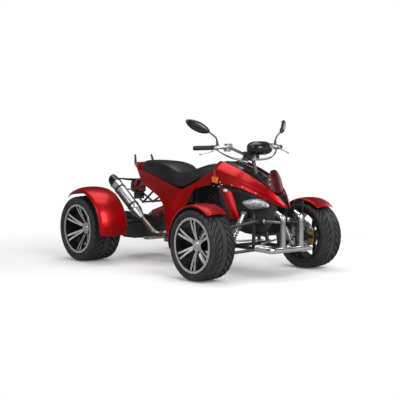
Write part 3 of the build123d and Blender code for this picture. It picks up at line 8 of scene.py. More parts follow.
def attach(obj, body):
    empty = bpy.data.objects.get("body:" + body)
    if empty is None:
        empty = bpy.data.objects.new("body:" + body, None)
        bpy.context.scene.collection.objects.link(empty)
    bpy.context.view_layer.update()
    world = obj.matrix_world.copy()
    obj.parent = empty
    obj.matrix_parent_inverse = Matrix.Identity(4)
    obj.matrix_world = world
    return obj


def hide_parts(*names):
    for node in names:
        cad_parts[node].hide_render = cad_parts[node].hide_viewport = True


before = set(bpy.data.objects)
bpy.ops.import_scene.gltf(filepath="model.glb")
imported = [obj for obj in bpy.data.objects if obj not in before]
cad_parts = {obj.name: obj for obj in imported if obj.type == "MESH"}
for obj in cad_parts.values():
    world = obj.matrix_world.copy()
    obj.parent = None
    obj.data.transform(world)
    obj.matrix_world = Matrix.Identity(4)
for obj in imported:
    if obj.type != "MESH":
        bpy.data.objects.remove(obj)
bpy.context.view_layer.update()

MIDDLE_SHIFT = 0.013
BODY_WIDTH, BODY_LENGTH, BODY_HEIGHT = 0.400, 2.000, 1.000
FRONT_AXLE = Vector((0.524, -0.659 + MIDDLE_SHIFT, 0.2485))
REAR_AXLE = Vector((0.528, 0.741 + MIDDLE_SHIFT, 0.259))
SIDES = (("left", 1), ("right", -1))
SIDEWAYS = Vector((1, 0, 0))
UPWARDS = Vector((0, 0, 1))


def mm(x, y, z):
    """A point given in millimetres."""
    return Vector((x / 1000, y / 1000 + MIDDLE_SHIFT, z / 1000))


def spot(across, along, up):
    """A point from shares of the bodywork's width, length and height."""
    return Vector((across * BODY_WIDTH, along * BODY_LENGTH + MIDDLE_SHIFT, up * BODY_HEIGHT))


COLUMN_FOOT, COLUMN_TOP = mm(0, -759, 250), mm(0, -600, 845)
COLUMN_AXIS = (COLUMN_TOP - COLUMN_FOOT).normalized()


# Shader nodes
def node(tree, kind, inputs=(), **settings):
    """A shader node, each of its inputs set to a value or joined to another node's output."""
    made = tree.nodes.new("ShaderNode" + kind)
    for key, value in settings.items():
        setattr(made, key, value)
    for key, value in inputs:
        if isinstance(value, bpy.types.NodeSocket):
            tree.links.new(value, made.inputs[key])
        else:
            made.inputs[key].default_value = value
    return made


def reckoned(tree, operation, *values):
    """The result of a sum on values, which may be outputs."""
    return node(tree, "Math", enumerate(values), operation=operation).outputs[0]


def ranged(tree, value, low, high, first, second, interpolation="LINEAR"):
    """A value carried from one range to another, whose ends may be outputs."""
    ends = (("Value", value), ("From Min", low), ("From Max", high), ("To Min", first), ("To Max", second))
    return node(tree, "MapRange", ends, interpolation_type=interpolation).outputs["Result"]


def rays_of(tree, first, second=None):
    """One for rays of these kinds, otherwise nothing."""
    rays = node(tree, "LightPath").outputs
    return reckoned(tree, "MAXIMUM", rays[first], rays[second] if second else 0.0)


# Camera and studio
CAMERA_PLACE = mm(-4769.1, -5830.9, 1031.9)
CAMERA_YAW, CAMERA_PITCH = radians(39.271), radians(-4.057)
CAMERA_LENS, CAMERA_SENSOR, CAMERA_REACH = 88.02, 36.0, 100
LAMP_AIM = Vector((0, 0, 0.4))
LAMPS = (   # name, place, size, power
    ("key_lamp", (-0.6, -4.4, 3.2), 2.8, 165),
    ("side_lamp", (-3.9, -0.4, 2.6), 1.9, 38),
    ("top_lamp", (0.2, 0.7, 3.9), 3.0, 62),
    ("rim_lamp", (3.6, -0.9, 2.0), 1.9, 35),
)
FLOOR_TONE, FLOOR_MIRRORED_TONE, FLOOR_GLOW = 0.86, 0.30, 0.10
FLOOR_FADE = (1.3, 3.0)
ROOM_LIGHT = 0.42
WINDOW_COUNT = 5.0


def shown(name, data):
    made = bpy.data.objects.new(name, data)
    bpy.context.scene.collection.objects.link(made)
    return made


def aimed(made, location, direction):
    """Puts a camera or lamp in its place, looking along a direction."""
    made.location = location
    made.rotation_mode = "QUATERNION"
    made.rotation_quaternion = direction.to_track_quat("-Z", "Y")


def camera():
    made = shown("camera", bpy.data.cameras.new("camera"))
    made.data.lens, made.data.sensor_width, made.data.clip_end = CAMERA_LENS, CAMERA_SENSOR, CAMERA_REACH
    level = cos(CAMERA_PITCH)
    aimed(made, CAMERA_PLACE, Vector((sin(CAMERA_YAW) * level, cos(CAMERA_YAW) * level, sin(CAMERA_PITCH))))
    bpy.context.scene.camera = made


def floor():
    """A pale floor that turns to plain white away from the vehicle."""
    mesh = bpy.data.meshes.new("floor")
    shape = bmesh.new()
    bmesh.ops.create_grid(shape, x_segments=4, y_segments=4, size=14)
    shape.to_mesh(mesh)
    shape.free()
    pale = bpy.data.materials.new("pale_floor")
    pale.use_nodes = True
    tree = pale.node_tree
    base = tree.nodes["Principled BSDF"]
    base.inputs["Roughness"].default_value = 0.75
    level = ranged(tree, rays_of(tree, "Is Glossy Ray"), 0.0, 1.0, FLOOR_TONE, FLOOR_MIRRORED_TONE)
    tone = node(tree, "CombineColor", [(channel, level) for channel in ("Red", "Green", "Blue")])
    tree.links.new(tone.outputs["Color"], base.inputs["Base Color"])
    seen = rays_of(tree, "Is Camera Ray", "Is Transmission Ray")
    white = ("Color", (1, 1, 1, 1))
    glow = node(tree, "Emission", (white, ("Strength", ranged(tree, seen, 0.0, 1.0, 0.0, FLOOR_GLOW))))
    near = node(tree, "AddShader", ((0, base.outputs[0]), (1, glow.outputs[0])))
    reach = node(tree, "VectorMath", ((0, node(tree, "NewGeometry").outputs["Position"]),), operation="LENGTH")
    fade = ranged(tree, reach.outputs["Value"], *FLOOR_FADE, 0.0, 1.0, "SMOOTHSTEP")
    both = node(tree, "MixShader", ((0, reckoned(tree, "MULTIPLY", fade, seen)), (1, near.outputs[0]),
                                    (2, node(tree, "Emission", (white,)).outputs[0])))
    tree.links.new(both.outputs[0], tree.nodes["Material Output"].inputs["Surface"])
    mesh.materials.append(pale)
    shown("floor", mesh)


def room():
    """White to the camera, an even light on the vehicle, and soft windows in what it mirrors."""
    world = bpy.data.worlds.new("studio")
    bpy.context.scene.world = world
    world.use_nodes = True
    tree = world.node_tree
    way = node(tree, "SeparateXYZ", ((0, node(tree, "NewGeometry").outputs["Position"]),)).outputs
    bearing = reckoned(tree, "ARCTAN2", way["Y"], way["X"])
    wave = reckoned(tree, "SINE", reckoned(tree, "MULTIPLY", bearing, WINDOW_COUNT))
    windows = ranged(tree, wave, -0.3, 0.5, 0.30, 1.7, "SMOOTHSTEP")
    mirrored = ranged(tree, way["Z"], 0.02, 0.50, 0.50, 0.06, "SMOOTHSTEP")
    level = ranged(tree, rays_of(tree, "Is Glossy Ray"), 0.0, 1.0, ROOM_LIGHT,
                   reckoned(tree, "MULTIPLY", windows, mirrored))
    level = ranged(tree, rays_of(tree, "Is Camera Ray", "Is Transmission Ray"), 0.0, 1.0, level, 1.0)
    background = tree.nodes["Background"]
    background.inputs["Color"].default_value = (1, 1, 1, 1)
    tree.links.new(level, background.inputs["Strength"])


def lamps():
    for name, location, size, power in LAMPS:
        light = bpy.data.lights.new(name, "AREA")
        light.size, light.energy = size, power
        aimed(shown(name, light), location, LAMP_AIM - Vector(location))


camera()
bpy.context.scene.view_settings.view_transform = "Standard"
floor()
room()
lamps()


# Finishes
TEXTURES = {"cells": ("TexVoronoi", "Distance"), "waves": ("TexWave", "Fac"), "noise": ("TexNoise", "Fac")}


def pattern(tree, kind, scale, detail=4.0, stretch=(1, 1, 1), turn=(0, 0, 0)):
    """A noise, cell or wave pattern over the piece, in its own coordinates."""
    mapping = node(tree, "Mapping", (("Vector", node(tree, "TexCoord").outputs["Object"]), ("Scale", stretch),
                                     ("Rotation", turn)))
    name, result = TEXTURES[kind]
    texture = node(tree, name, (("Vector", mapping.outputs["Vector"]), ("Scale", scale)))
    if kind == "waves":
        texture.inputs["Distortion"].default_value = 1.5
    if kind == "noise":
        texture.inputs["Detail"].default_value = detail
    return texture.outputs[result]


def surface(name, colour, roughness, tones=None, gloss=None, grain=None, metallic=0.0, coat=0.0,
            coat_roughness=0.04, more=()):
    """A finish: two tones mixed by a pattern, a roughness that changes over the piece, and a raised grain."""
    material = bpy.data.materials.new(name)
    material.use_nodes = True
    tree = material.node_tree
    shader = tree.nodes["Principled BSDF"].inputs
    for key, value in (("Base Color", (*colour, 1)), ("Roughness", roughness), ("Metallic", metallic),
                       ("Coat Weight", coat), ("Coat Roughness", coat_roughness), *more):
        shader[key].default_value = value
    if tones:
        source, low, high, first, second = tones
        blend = node(tree, "ValToRGB", (("Fac", pattern(tree, *source)),))
        for stop, position, tone in zip(blend.color_ramp.elements, (low, high), (first, second)):
            stop.position, stop.color = position, (*tone, 1)
        tree.links.new(blend.outputs["Color"], shader["Base Color"])
    if gloss:
        source, smooth, rough = gloss
        tree.links.new(ranged(tree, pattern(tree, *source), 0.3, 0.7, smooth, rough), shader["Roughness"])
    if grain:
        source, height, strength = grain
        bump = node(tree, "Bump", (("Height", pattern(tree, *source)), ("Strength", strength), ("Distance", height)))
        tree.links.new(bump.outputs["Normal"], shader["Normal"])
    return material


def tinted(name, deep, pale, roughness, transmission, coat=0.5, shine=0.5):
    """A clear or coloured plastic lens."""
    return surface(name, pale, roughness, (("noise", 18), 0.3, 0.75, deep, pale), None,
                   (("noise", 400, 1.0), 0.00005, 0.08), coat=coat,
                   more=(("Specular IOR Level", shine), ("Transmission Weight", transmission), ("IOR", 1.49)))


STROKES = ("noise", 240, 4.0, (1.0, 0.06, 1.0), (atan2(0.255, 0.36), 0, 0))   # along the muffler
# Facet cells: the reflector's real facet bumps, and its painted reflection of light and dark facets
FACETS_AND_GLINTS = ("cells", 62)
RED = surface(
    "candy_red", (0.52, 0.003, 0.006), 0.36, (("cells", 1400), 0.1, 0.8, (0.57, 0.004, 0.007), (0.47, 0.002, 0.005)),
    (("noise", 5), 0.33, 0.40), (("noise", 700, 1.0), 0.00003, 0.06), metallic=0.80, coat=0.24, coat_roughness=0.05)
GLOSS = surface(
    "gloss_black", (0.009, 0.009, 0.010), 0.22, None, (("noise", 12), 0.18, 0.28),
    (("noise", 900, 1.0), 0.00004, 0.08), coat=0.25, coat_roughness=0.12)
MOULDED = surface(
    "moulded_black", (0.03, 0.03, 0.032), 0.5, (("noise", 14), 0.35, 0.7, (0.022, 0.022, 0.024), (0.042, 0.042, 0.044)),
    (("noise", 20), 0.42, 0.6), (("cells", 900), 0.0004, 0.4))
FRAME_PAINT = surface(
    "frame_black", (0.018, 0.018, 0.02), 0.36, (("noise", 9), 0.45, 0.75, (0.014, 0.014, 0.016), (0.05, 0.049, 0.048)),
    (("noise", 30), 0.28, 0.5), (("noise", 220), 0.0004, 0.25), coat=0.35, coat_roughness=0.25)
ENGINE_PAINT = surface(
    "engine_black", (0.03, 0.03, 0.032), 0.48, (("noise", 22), 0.5, 0.8, (0.02, 0.02, 0.022), (0.10, 0.10, 0.10)),
    (("noise", 40), 0.38, 0.62), (("noise", 420), 0.0006, 0.5), metallic=0.2)
CHROME = surface(
    "polished_tube", (0.78, 0.78, 0.79), 0.18, (("noise", 16), 0.35, 0.7, (0.70, 0.70, 0.71), (0.84, 0.84, 0.85)),
    (("noise", 24), 0.15, 0.23), (("noise", 900), 0.00004, 0.05), metallic=1.0)
MACHINED = surface(
    "machined_alloy", (0.86, 0.86, 0.87), 0.28, (("noise", 30), 0.35, 0.7, (0.80, 0.80, 0.81), (0.92, 0.92, 0.93)),
    (("noise", 60), 0.24, 0.36), (("waves", 700, 4.0, (1, 0.15, 1)), 0.0002, 0.18), metallic=0.9)
CAST = surface(
    "cast_alloy", (0.62, 0.62, 0.63), 0.36, (("noise", 35), 0.35, 0.7, (0.54, 0.54, 0.55), (0.72, 0.72, 0.73)),
    (("noise", 50), 0.28, 0.44), (("noise", 500), 0.0005, 0.4), metallic=0.85)
WHEEL_PAINT = surface(
    "wheel_black", (0.012, 0.012, 0.013), 0.22,
    (("cells", 1100), 0.2, 0.8, (0.020, 0.020, 0.021), (0.009, 0.009, 0.010)), (("noise", 18), 0.16, 0.30),
    metallic=0.2, coat=0.6)
STEEL = surface(
    "brushed_steel", (0.60, 0.60, 0.61), 0.26, (STROKES, 0.3, 0.7, (0.58, 0.58, 0.59), (0.72, 0.72, 0.73)),
    (STROKES, 0.28, 0.36), (STROKES, 0.00008, 0.10), metallic=1.0)
PIPE = surface(
    "bare_pipe", (0.42, 0.38, 0.33), 0.32, (("noise", 11), 0.35, 0.7, (0.30, 0.24, 0.20), (0.52, 0.50, 0.47)),
    (("noise", 40), 0.24, 0.44), (("noise", 350), 0.0003, 0.2), metallic=1.0)
VINYL = surface(
    "seat_vinyl", (0.008, 0.008, 0.009), 0.42, (("noise", 10), 0.35, 0.7, (0.006, 0.006, 0.007), (0.012, 0.012, 0.013)),
    (("noise", 16), 0.36, 0.48), (("cells", 420), 0.0005, 0.35))
TYRE = surface(
    "tyre_rubber", (0.022, 0.022, 0.023), 0.62,
    (("noise", 12), 0.35, 0.7, (0.016, 0.016, 0.017), (0.034, 0.034, 0.035)),
    (("noise", 25), 0.52, 0.74), (("noise", 700), 0.0006, 0.4))
# A lighter copy of the tyre rubber for the tread band: painted light on the lands
LIT_TREAD = surface(
    "tread_painted_light", (0.028, 0.028, 0.029), 0.58,
    (("noise", 14), 0.35, 0.7, (0.020, 0.020, 0.021), (0.038, 0.038, 0.039)),
    (("noise", 25), 0.50, 0.64), (("noise", 700), 0.0005, 0.3))
# A near-black copy of the tyre rubber for the groove floors: painted shade in the grooves
SHADED_GROOVE = surface(
    "groove_painted_shade", (0.006, 0.006, 0.006), 0.85,
    (("noise", 40), 0.35, 0.7, (0.004, 0.004, 0.004), (0.010, 0.010, 0.010)), None, (("noise", 500), 0.0005, 0.4))
RUBBER = surface(
    "soft_rubber", (0.02, 0.02, 0.021), 0.66, (("noise", 60), 0.35, 0.7, (0.014, 0.014, 0.015), (0.03, 0.03, 0.031)),
    None, (("cells", 700), 0.0005, 0.4))
GOLD = surface(
    "caliper_gold", (0.50, 0.32, 0.05), 0.34, (("noise", 60), 0.3, 0.7, (0.42, 0.26, 0.035), (0.60, 0.40, 0.07)),
    None, (("noise", 420), 0.0003, 0.3), metallic=0.7, coat=0.4)
SMOKED = tinted("smoked_screen", (0.050, 0.003, 0.005), (0.085, 0.005, 0.008), 0.30, 0.08, coat=0.0, shine=0.12)
CLEAR = tinted("clear_lens", (0.90, 0.92, 0.94), (0.97, 0.98, 0.99), 0.03, 0.92)
AMBER = tinted("amber_lens", (0.80, 0.14, 0.008), (0.95, 0.24, 0.015), 0.12, 0.25)
RED_LENS = tinted("red_lens", (0.16, 0.004, 0.008), (0.30, 0.008, 0.014), 0.10, 0.25)
# Lamp reflector: its light and dark grey facets are a painted reflection in the colour; the facet bumps are real
REFLECTOR = surface(
    "lamp_reflector", (0.42, 0.43, 0.45), 0.34, (FACETS_AND_GLINTS, 0.15, 0.85, (0.16, 0.165, 0.175), (0.72, 0.73, 0.75)),
    None, (FACETS_AND_GLINTS, 0.0010, 0.25), metallic=0.7)
OPAL = tinted("opal_lens", (0.78, 0.78, 0.76), (0.88, 0.88, 0.86), 0.18, 0.1)
MIRROR_GLASS = surface("mirror_glass", (0.86, 0.87, 0.88), 0.02, None, (("noise", 20), 0.01, 0.05), metallic=1.0)
RED_SPRING = surface("red_spring", (0.38, 0.006, 0.010), 0.3, None, (("noise", 30), 0.22, 0.4), coat=0.5)


# Making pieces
def piece(name, shape, finishes, stands_for="", body="chassis", sharp=32, modifiers=()):
    """A finished piece from its bmesh: shaded, painted and riding on its body."""
    mesh = bpy.data.meshes.new(name)
    shape.to_mesh(mesh)
    shape.free()
    for finish in finishes:
        mesh.materials.append(finish)
    mesh.polygons.foreach_set("use_smooth", [True] * len(mesh.polygons))
    mesh.set_sharp_from_angle(angle=radians(sharp))
    made = shown(name, mesh)
    for kind, values in modifiers:
        modifier = made.modifiers.new(kind.lower(), kind)
        for key, value in values.items():
            setattr(modifier, key, value)
    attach(made, body)
    if stands_for:
        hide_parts(stands_for)
    return made


def softened(levels):
    return (("SUBSURF", {"levels": levels, "render_levels": levels}),)


def wall(thickness, levels=2, inside=1):
    """The modifiers that make a cage a smooth moulded panel, with a material for its inside."""
    return softened(levels) + (("SOLIDIFY", {"thickness": thickness, "offset": -1.0, "material_offset": inside}),)


def tidy(shape, distance=0.00002):
    """Doubles merged and the faces turned outwards."""
    bmesh.ops.remove_doubles(shape, verts=shape.verts, dist=distance)
    bmesh.ops.recalc_face_normals(shape, faces=shape.faces)
    return shape


def joined(target, *sources):
    """Other pieces' faces added to this one."""
    for source in sources:
        mesh = bpy.data.meshes.new("part")
        source.to_mesh(mesh)
        source.free()
        target.from_mesh(mesh)
        bpy.data.meshes.remove(mesh)
    return target


def flipped(shape, side):
    """A left shape, mirrored when the right one is wanted."""
    if side < 0:
        bmesh.ops.scale(shape, vec=(-1, 1, 1), verts=shape.verts)
        bmesh.ops.reverse_faces(shape, faces=shape.faces)
    return shape


def facing(shape, direction):
    """Turns all the faces round if most of them look away from a direction."""
    direction = Vector(direction)
    for face in shape.faces:
        face.normal_update()
    if sum(face.normal.dot(direction) * face.calc_area() for face in shape.faces) < 0:
        bmesh.ops.reverse_faces(shape, faces=shape.faces)
    return shape


def moved(shape, vector):
    bmesh.ops.translate(shape, vec=vector, verts=shape.verts)
    return shape


def spun(shape, angle, axis):
    bmesh.ops.rotate(shape, cent=(0, 0, 0), matrix=Matrix.Rotation(angle, 3, axis), verts=shape.verts)
    return shape


def place(shape, location, direction=None):
    """Moves a shape made round the origin along Z to its place and direction."""
    turn = Matrix.Identity(4)
    if direction is not None:
        turn = Vector(direction).to_track_quat("Z", "Y").to_matrix().to_4x4()
    bmesh.ops.transform(shape, matrix=Matrix.Translation(location) @ turn, verts=shape.verts)
    return shape


def line_of(points):
    """Points joined by edges, to be turned or swept."""
    shape = bmesh.new()
    verts = [shape.verts.new(point) for point in points]
    for first, second in zip(verts, verts[1:]):
        shape.edges.new((first, second))
    return shape


def column_of(first, second, steps):
    """Which of a turned shape's columns a direction falls in."""
    return int((atan2(first, second) % (2 * pi)) / (2 * pi) * steps)


def turned(profile, steps, location=(0, 0, 0), direction=None):
    """A profile of (radius, height) turned round its axis, and put in its place."""
    shape = line_of([(radius, 0, height) for radius, height in profile])
    bmesh.ops.spin(shape, geom=shape.verts[:] + shape.edges[:], cent=(0, 0, 0), axis=(0, 0, 1),
                   angle=2 * pi, steps=steps, use_merge=True)
    return place(tidy(shape), location, direction)


def rounded_box(width, depth, height, bevel, location=(0, 0, 0), direction=None, segments=3):
    """A box with rounded edges, put in its place."""
    shape = bmesh.new()
    bmesh.ops.create_cube(shape, size=1)
    bmesh.ops.scale(shape, vec=(width, depth, height), verts=shape.verts)
    bmesh.ops.bevel(shape, geom=shape.edges[:], offset=bevel, segments=segments, affect="EDGES",
                    profile=0.5, material=-1)
    return place(shape, location, direction)


def cone(segments, radius, top_radius, height, location):
    shape = bmesh.new()
    bmesh.ops.create_cone(shape, segments=segments, radius1=radius, radius2=top_radius, depth=height, cap_ends=True)
    return moved(shape, location)


def ball(columns, rows, radius, location=(0, 0, 0)):
    shape = bmesh.new()
    bmesh.ops.create_uvsphere(shape, u_segments=columns, v_segments=rows, radius=radius)
    return moved(shape, location)


def bolt(location, direction, radius=0.004, height=0.003):
    """A hexagon head on its washer."""
    washer = cone(16, radius * 1.35, radius * 1.35, height * 0.4, (0, 0, height * 0.2))
    return place(joined(washer, cone(6, radius, radius * 0.9, height, (0, 0, height * 0.85))), location, direction)


def hose(points, radius, bend=None, ring=4):
    """A round tube along its points: smooth all the way, or straight runs with bends."""
    route = [Vector(point) for point in points]
    if bend is not None:
        full = [route[0]]
        for before, corner, after in zip(route, route[1:], route[2:]):
            back, ahead = before - corner, after - corner
            full.append(corner + back.normalized() * min(bend, back.length * 0.45))
            full.append(corner)
            full.append(corner + ahead.normalized() * min(bend, ahead.length * 0.45))
        route = full + [route[-1]]
    curve = bpy.data.curves.new("hose", "CURVE")
    curve.dimensions = "3D"
    spline = curve.splines.new("NURBS")
    spline.points.add(len(route) - 1)
    for knot, point in zip(spline.points, route):
        knot.co = (*point, 1)
    spline.order_u, spline.use_endpoint_u, spline.resolution_u = 3, True, 6
    curve.bevel_depth, curve.bevel_resolution, curve.use_fill_caps = radius, ring, True
    holder = shown("hose", curve)
    bpy.context.view_layer.update()
    seen = holder.evaluated_get(bpy.context.evaluated_depsgraph_get())
    mesh = bpy.data.meshes.new_from_object(seen)
    shape = bmesh.new()
    shape.from_mesh(mesh)
    bpy.data.objects.remove(holder)
    bpy.data.meshes.remove(mesh)
    return tidy(shape)


# Tyres: sidewalls, and a road tread of slanting grooves swept round the crown, the tread band in a lighter rubber as
# painted light and the groove floors in near-black rubber as painted shade
TREAD_PITCHES = 30
PITCH_STEPS = 6
TREAD_SWEEP = 0.42
TREAD_SHOULDER = 0.86   # of half the tyre's width
GROOVE_DEPTH = 0.0055
BAND_REACH = 0.0135     # the tread's depth over the sidewall
BEAD_EDGE = 0.215       # the tyre turns in step with its shoulder inside this radius
FRONT_TYRE, REAR_TYRE = (0.2485, 0.1025), (0.259, 0.1325)   # radius, half width


def tyre(name, side, centre, radius, half, body):
    shoulder = half * TREAD_SHOULDER
    line = [
        (half - 0.019, 0.190), (half - 0.0165, 0.1975), (half - 0.008, 0.2015), (half - 0.0035, 0.2040),
        (half - 0.0030, 0.2075), (half - 0.0050, 0.2095), (half - 0.0012, 0.2140), (half, 0.2190),
        (half - 0.0008, 0.2250), (half - 0.0035, radius - 0.0165), (half - 0.0080, radius - 0.0110),
        (shoulder + 0.004, radius - 0.0075)]
    line += [(shoulder * share, radius - 0.006 * share ** 2)
             for share in (0.97, 0.86, 0.74, 0.60, 0.44, 0.30, 0.22, 0.10)]
    shape = line_of([(x, 0, r) for x, r in line + [(-x, r) for x, r in reversed(line)]])
    steps = TREAD_PITCHES * PITCH_STEPS
    bmesh.ops.spin(shape, geom=shape.verts[:] + shape.edges[:], cent=(0, 0, 0), axis=(1, 0, 0),
                   angle=2 * pi, steps=steps, use_merge=True)
    tidy(shape)
    grooves = []
    for face in shape.faces:
        middle = face.calc_center_median()
        share = abs(middle.x) / shoulder
        if hypot(middle.y, middle.z) < radius - BAND_REACH:
            continue
        # the tread band takes the lighter rubber, a painted highlight
        face.material_index = 2
        step = (column_of(middle.y, middle.z, steps) + (0 if middle.x > 0 else 3)) % PITCH_STEPS
        round_groove = 0.18 < share < 0.30
        slant = 0.30 < share < 1.12 and step in (0, 1)
        short = 0.60 < share < 1.0 and step == 3
        if round_groove or slant or short:
            grooves.append(face)
    bmesh.ops.inset_region(shape, faces=grooves, thickness=0.0006, depth=-GROOVE_DEPTH, use_even_offset=True)
    # the groove floors take the near-black rubber, a painted shade in the recess
    for face in grooves:
        face.material_index = 1
    for vert in shape.verts:
        reach = min(abs(vert.co.x) / shoulder, 1.1) if hypot(vert.co.y, vert.co.z) > BEAD_EDGE else 1.1
        vert.co = Matrix.Rotation(TREAD_SWEEP * reach ** 1.5, 3, "X") @ vert.co
    bmesh.ops.recalc_face_normals(shape, faces=shape.faces)
    moved(flipped(shape, side), (centre.x * side, centre.y, centre.z))
    piece(name, shape, [TYRE, SHADED_GROOVE, LIT_TREAD], name, body, sharp=38)


# Wheels: black barrel, bright lip, six pairs of machined spokes, hub with nuts and cap
SPOKE_PAIRS = 6
SPOKE_START, SPOKE_END = 0.036, 0.1765
SPOKE_DEPTH = 0.020
SPOKE_BOW = 0.006
PAIR_SPREAD = 6.5       # degrees each way from the middle of a pair
NUT_RING = 0.0365
RIM_INSET = 0.010


def spoke(face_x, lip_x):
    """One straight spoke along Z with its outer face towards +X."""
    shape = bmesh.new()
    bmesh.ops.create_cube(shape, size=1)
    for vert in shape.verts:
        outer, far = vert.co.x > 0, vert.co.z > 0
        surface_x = lip_x if far else face_x
        width = (0.0086 if far else 0.0084) * (1 if outer else 0.8)
        vert.co = Vector((surface_x if outer else surface_x - SPOKE_DEPTH, width if vert.co.y > 0 else -width,
                          SPOKE_END if far else SPOKE_START))
    along = [edge for edge in shape.edges if abs((edge.verts[0].co - edge.verts[1].co).z) > 0.05]
    bmesh.ops.subdivide_edges(shape, edges=along, cuts=5)
    for vert in shape.verts:
        vert.co.x += SPOKE_BOW * sin(pi * ((vert.co.z - SPOKE_START) / (SPOKE_END - SPOKE_START)))
    corners = [edge for edge in shape.edges
               if edge.verts[0].co.x > face_x - 0.012 and edge.verts[1].co.x > face_x - 0.012
               and len(edge.link_faces) == 2 and edge.calc_face_angle(0) > 0.9
               and abs((edge.verts[0].co - edge.verts[1].co).z) > 0.005]
    bmesh.ops.bevel(shape, geom=corners, offset=0.0016, segments=2, affect="EDGES", profile=0.5, material=-1)
    for face in shape.faces:
        face.normal_update()
        face.material_index = 1 if face.normal.x > 0.75 else 0
    return shape


def wheel(name, side, centre, half_width, dish, hub_inner, body, stands_for):
    half = half_width - RIM_INSET
    shape = turned([
        (0.1745, half - 0.004), (0.1765, half - 0.001), (0.1860, half - 0.001), (0.1925, half), (0.1950, half - 0.003),
        (0.1950, half - 0.008), (0.1900, half - 0.010), (0.1825, half - 0.012), (0.1820, half - 0.030),
        (0.1820, -half + 0.030), (0.1825, -half + 0.012), (0.1900, -half + 0.010), (0.1950, -half + 0.008),
        (0.1950, -half + 0.002), (0.1900, -half), (0.1760, -half), (0.1750, -half + 0.004), (0.1700, -half + 0.020),
        (0.1720, 0.0), (0.1745, half - 0.020), (0.1745, half - 0.004)], 96)
    for face in shape.faces:
        middle = face.calc_center_median()
        face.material_index = 1 if middle.z > half - 0.0025 and hypot(middle.x, middle.y) > 0.178 else 0
    spun(shape, pi / 2, "Y")
    face_x = half - dish
    for pair_number in range(SPOKE_PAIRS):
        for offset in (-PAIR_SPREAD, PAIR_SPREAD):
            joined(shape, spun(spoke(face_x, half - 0.009), radians(pair_number * 360 / SPOKE_PAIRS + offset), "X"))
    hub = turned([
        (0.0, hub_inner), (0.040, hub_inner), (0.046, hub_inner + 0.006), (0.046, face_x - 0.004),
        (0.043, face_x + 0.001), (0.034, face_x + 0.003), (0.0275, face_x + 0.003), (0.0265, face_x + 0.010),
        (0.0225, face_x + 0.0125), (0.012, face_x + 0.0115), (0.0, face_x + 0.0115)], 40)
    for face in hub.faces:
        face.material_index = 1 if face.calc_center_median().z > face_x - 0.001 else 0
    for number in range(4):
        turn = radians(45 + 90 * number)
        nut = cone(6, 0.0065, 0.0058, 0.012, (NUT_RING * cos(turn), NUT_RING * sin(turn), face_x + 0.006))
        for face in nut.faces:
            face.material_index = 2
        joined(hub, nut)
    joined(shape, spun(hub, pi / 2, "Y"))
    valve = hose([(half - 0.016, 0.0, 0.170), (half - 0.010, 0.0, 0.168), (half + 0.002, 0.0, 0.160)], 0.0028)
    for face in valve.faces:
        face.material_index = 0
    moved(flipped(joined(shape, valve), side), (centre.x * side, centre.y, centre.z))
    piece(name, shape, [WHEEL_PAINT, MACHINED, CHROME], stands_for, body)


# Brakes: drilled discs with gold calipers
DISC_X = 454   # millimetres from the middle plane
DISC_STEPS = 72
DISC_HUB, DISC_BAND = 0.074, (0.080, 0.112)   # the windows end at the first, the holes lie in the second
HOLE_ROW = 0.0105
DISC_WINDOW = (3, 4, 5, 6, 7, 8)              # of each twelve columns


def caliper(name, side):
    """The gold caliper's two halves either side of the disc, with bolts."""
    shape = bmesh.new()
    for way in (-1, 1):
        joined(shape, rounded_box(0.0165, 0.0470, 0.0890, 0.0045, mm(DISC_X + way * 13, -763, 248.5)),
               rounded_box(0.004, 0.022, 0.044, 0.0018, mm(DISC_X + way * 21, -763, 248.5)))
    for height in (222, 275):
        joined(shape, bolt(mm(433, -752, height), (-1, 0, 0), 0.006, 0.005),
               bolt(mm(475, -752, height), (1, 0, 0), 0.005, 0.003))
    piece("caliper_" + name, flipped(shape, side), [GOLD], body="knuckle_" + name)


def brake_disc(name, side, centre):
    shape = turned([(radius, 0.0) for radius in (0.042, 0.074, 0.080, 0.090, 0.100, 0.112, 0.120)], DISC_STEPS)
    holes = []
    for face in shape.faces:
        middle = face.calc_center_median()
        column = column_of(middle.y, middle.x, DISC_STEPS)
        distance = hypot(middle.x, middle.y)
        drilled = (DISC_BAND[0] < distance < DISC_BAND[1]
                   and column % 6 == int((distance - DISC_BAND[0]) / HOLE_ROW) * 2 % 6)
        if drilled or distance < DISC_HUB and column % 12 in DISC_WINDOW:
            holes.append(face)
    bmesh.ops.delete(shape, geom=holes, context="FACES")
    moved(spun(shape, pi / 2, "Y"), (DISC_X / 1000 * side, centre.y, centre.z))
    piece("brake_disc_" + name, shape, [MACHINED], body="front_wheel_" + name,
          modifiers=(("SOLIDIFY", {"thickness": 0.004, "offset": 0.0}),))


for name, side in SIDES:
    tyre("front_tyre_" + name, side, FRONT_AXLE, *FRONT_TYRE, "front_wheel_" + name)
    tyre("rear_tyre_" + name, side, REAR_AXLE, *REAR_TYRE, "rear_axle")
    wheel("front_rim_" + name, side, FRONT_AXLE, FRONT_TYRE[1], 0.047, 0.442 - FRONT_AXLE.x, "front_wheel_" + name,
          "front_rim_" + name)
    brake_disc(name, side, FRONT_AXLE)
    caliper(name, side)
    wheel("rear_rim_" + name, side, REAR_AXLE, REAR_TYRE[1], 0.082, 0.420 - REAR_AXLE.x, "rear_axle",
          "rear_rims" if side > 0 else "")


# Thin bodywork
def sheet_cage(stations):
    """A strip of faces through stations, each a row of points."""
    shape = bmesh.new()
    row = [shape.verts.new(point) for point in stations[0]]
    edges = [shape.edges.new(ends) for ends in zip(row, row[1:])]
    for station in stations[1:]:
        made = bmesh.ops.extrude_edge_only(shape, edges=edges)["geom"]
        fresh = {item for item in made if isinstance(item, bmesh.types.BMVert)}
        edges = [item for item in made if isinstance(item, bmesh.types.BMEdge) and fresh.issuperset(item.verts)]
        row = [next(edge.other_vert(vert) for edge in vert.link_edges if edge.other_vert(vert) in fresh)
               for vert in row]
        for vert, point in zip(row, station):
            vert.co = point
    bmesh.ops.recalc_face_normals(shape, faces=shape.faces)
    return shape


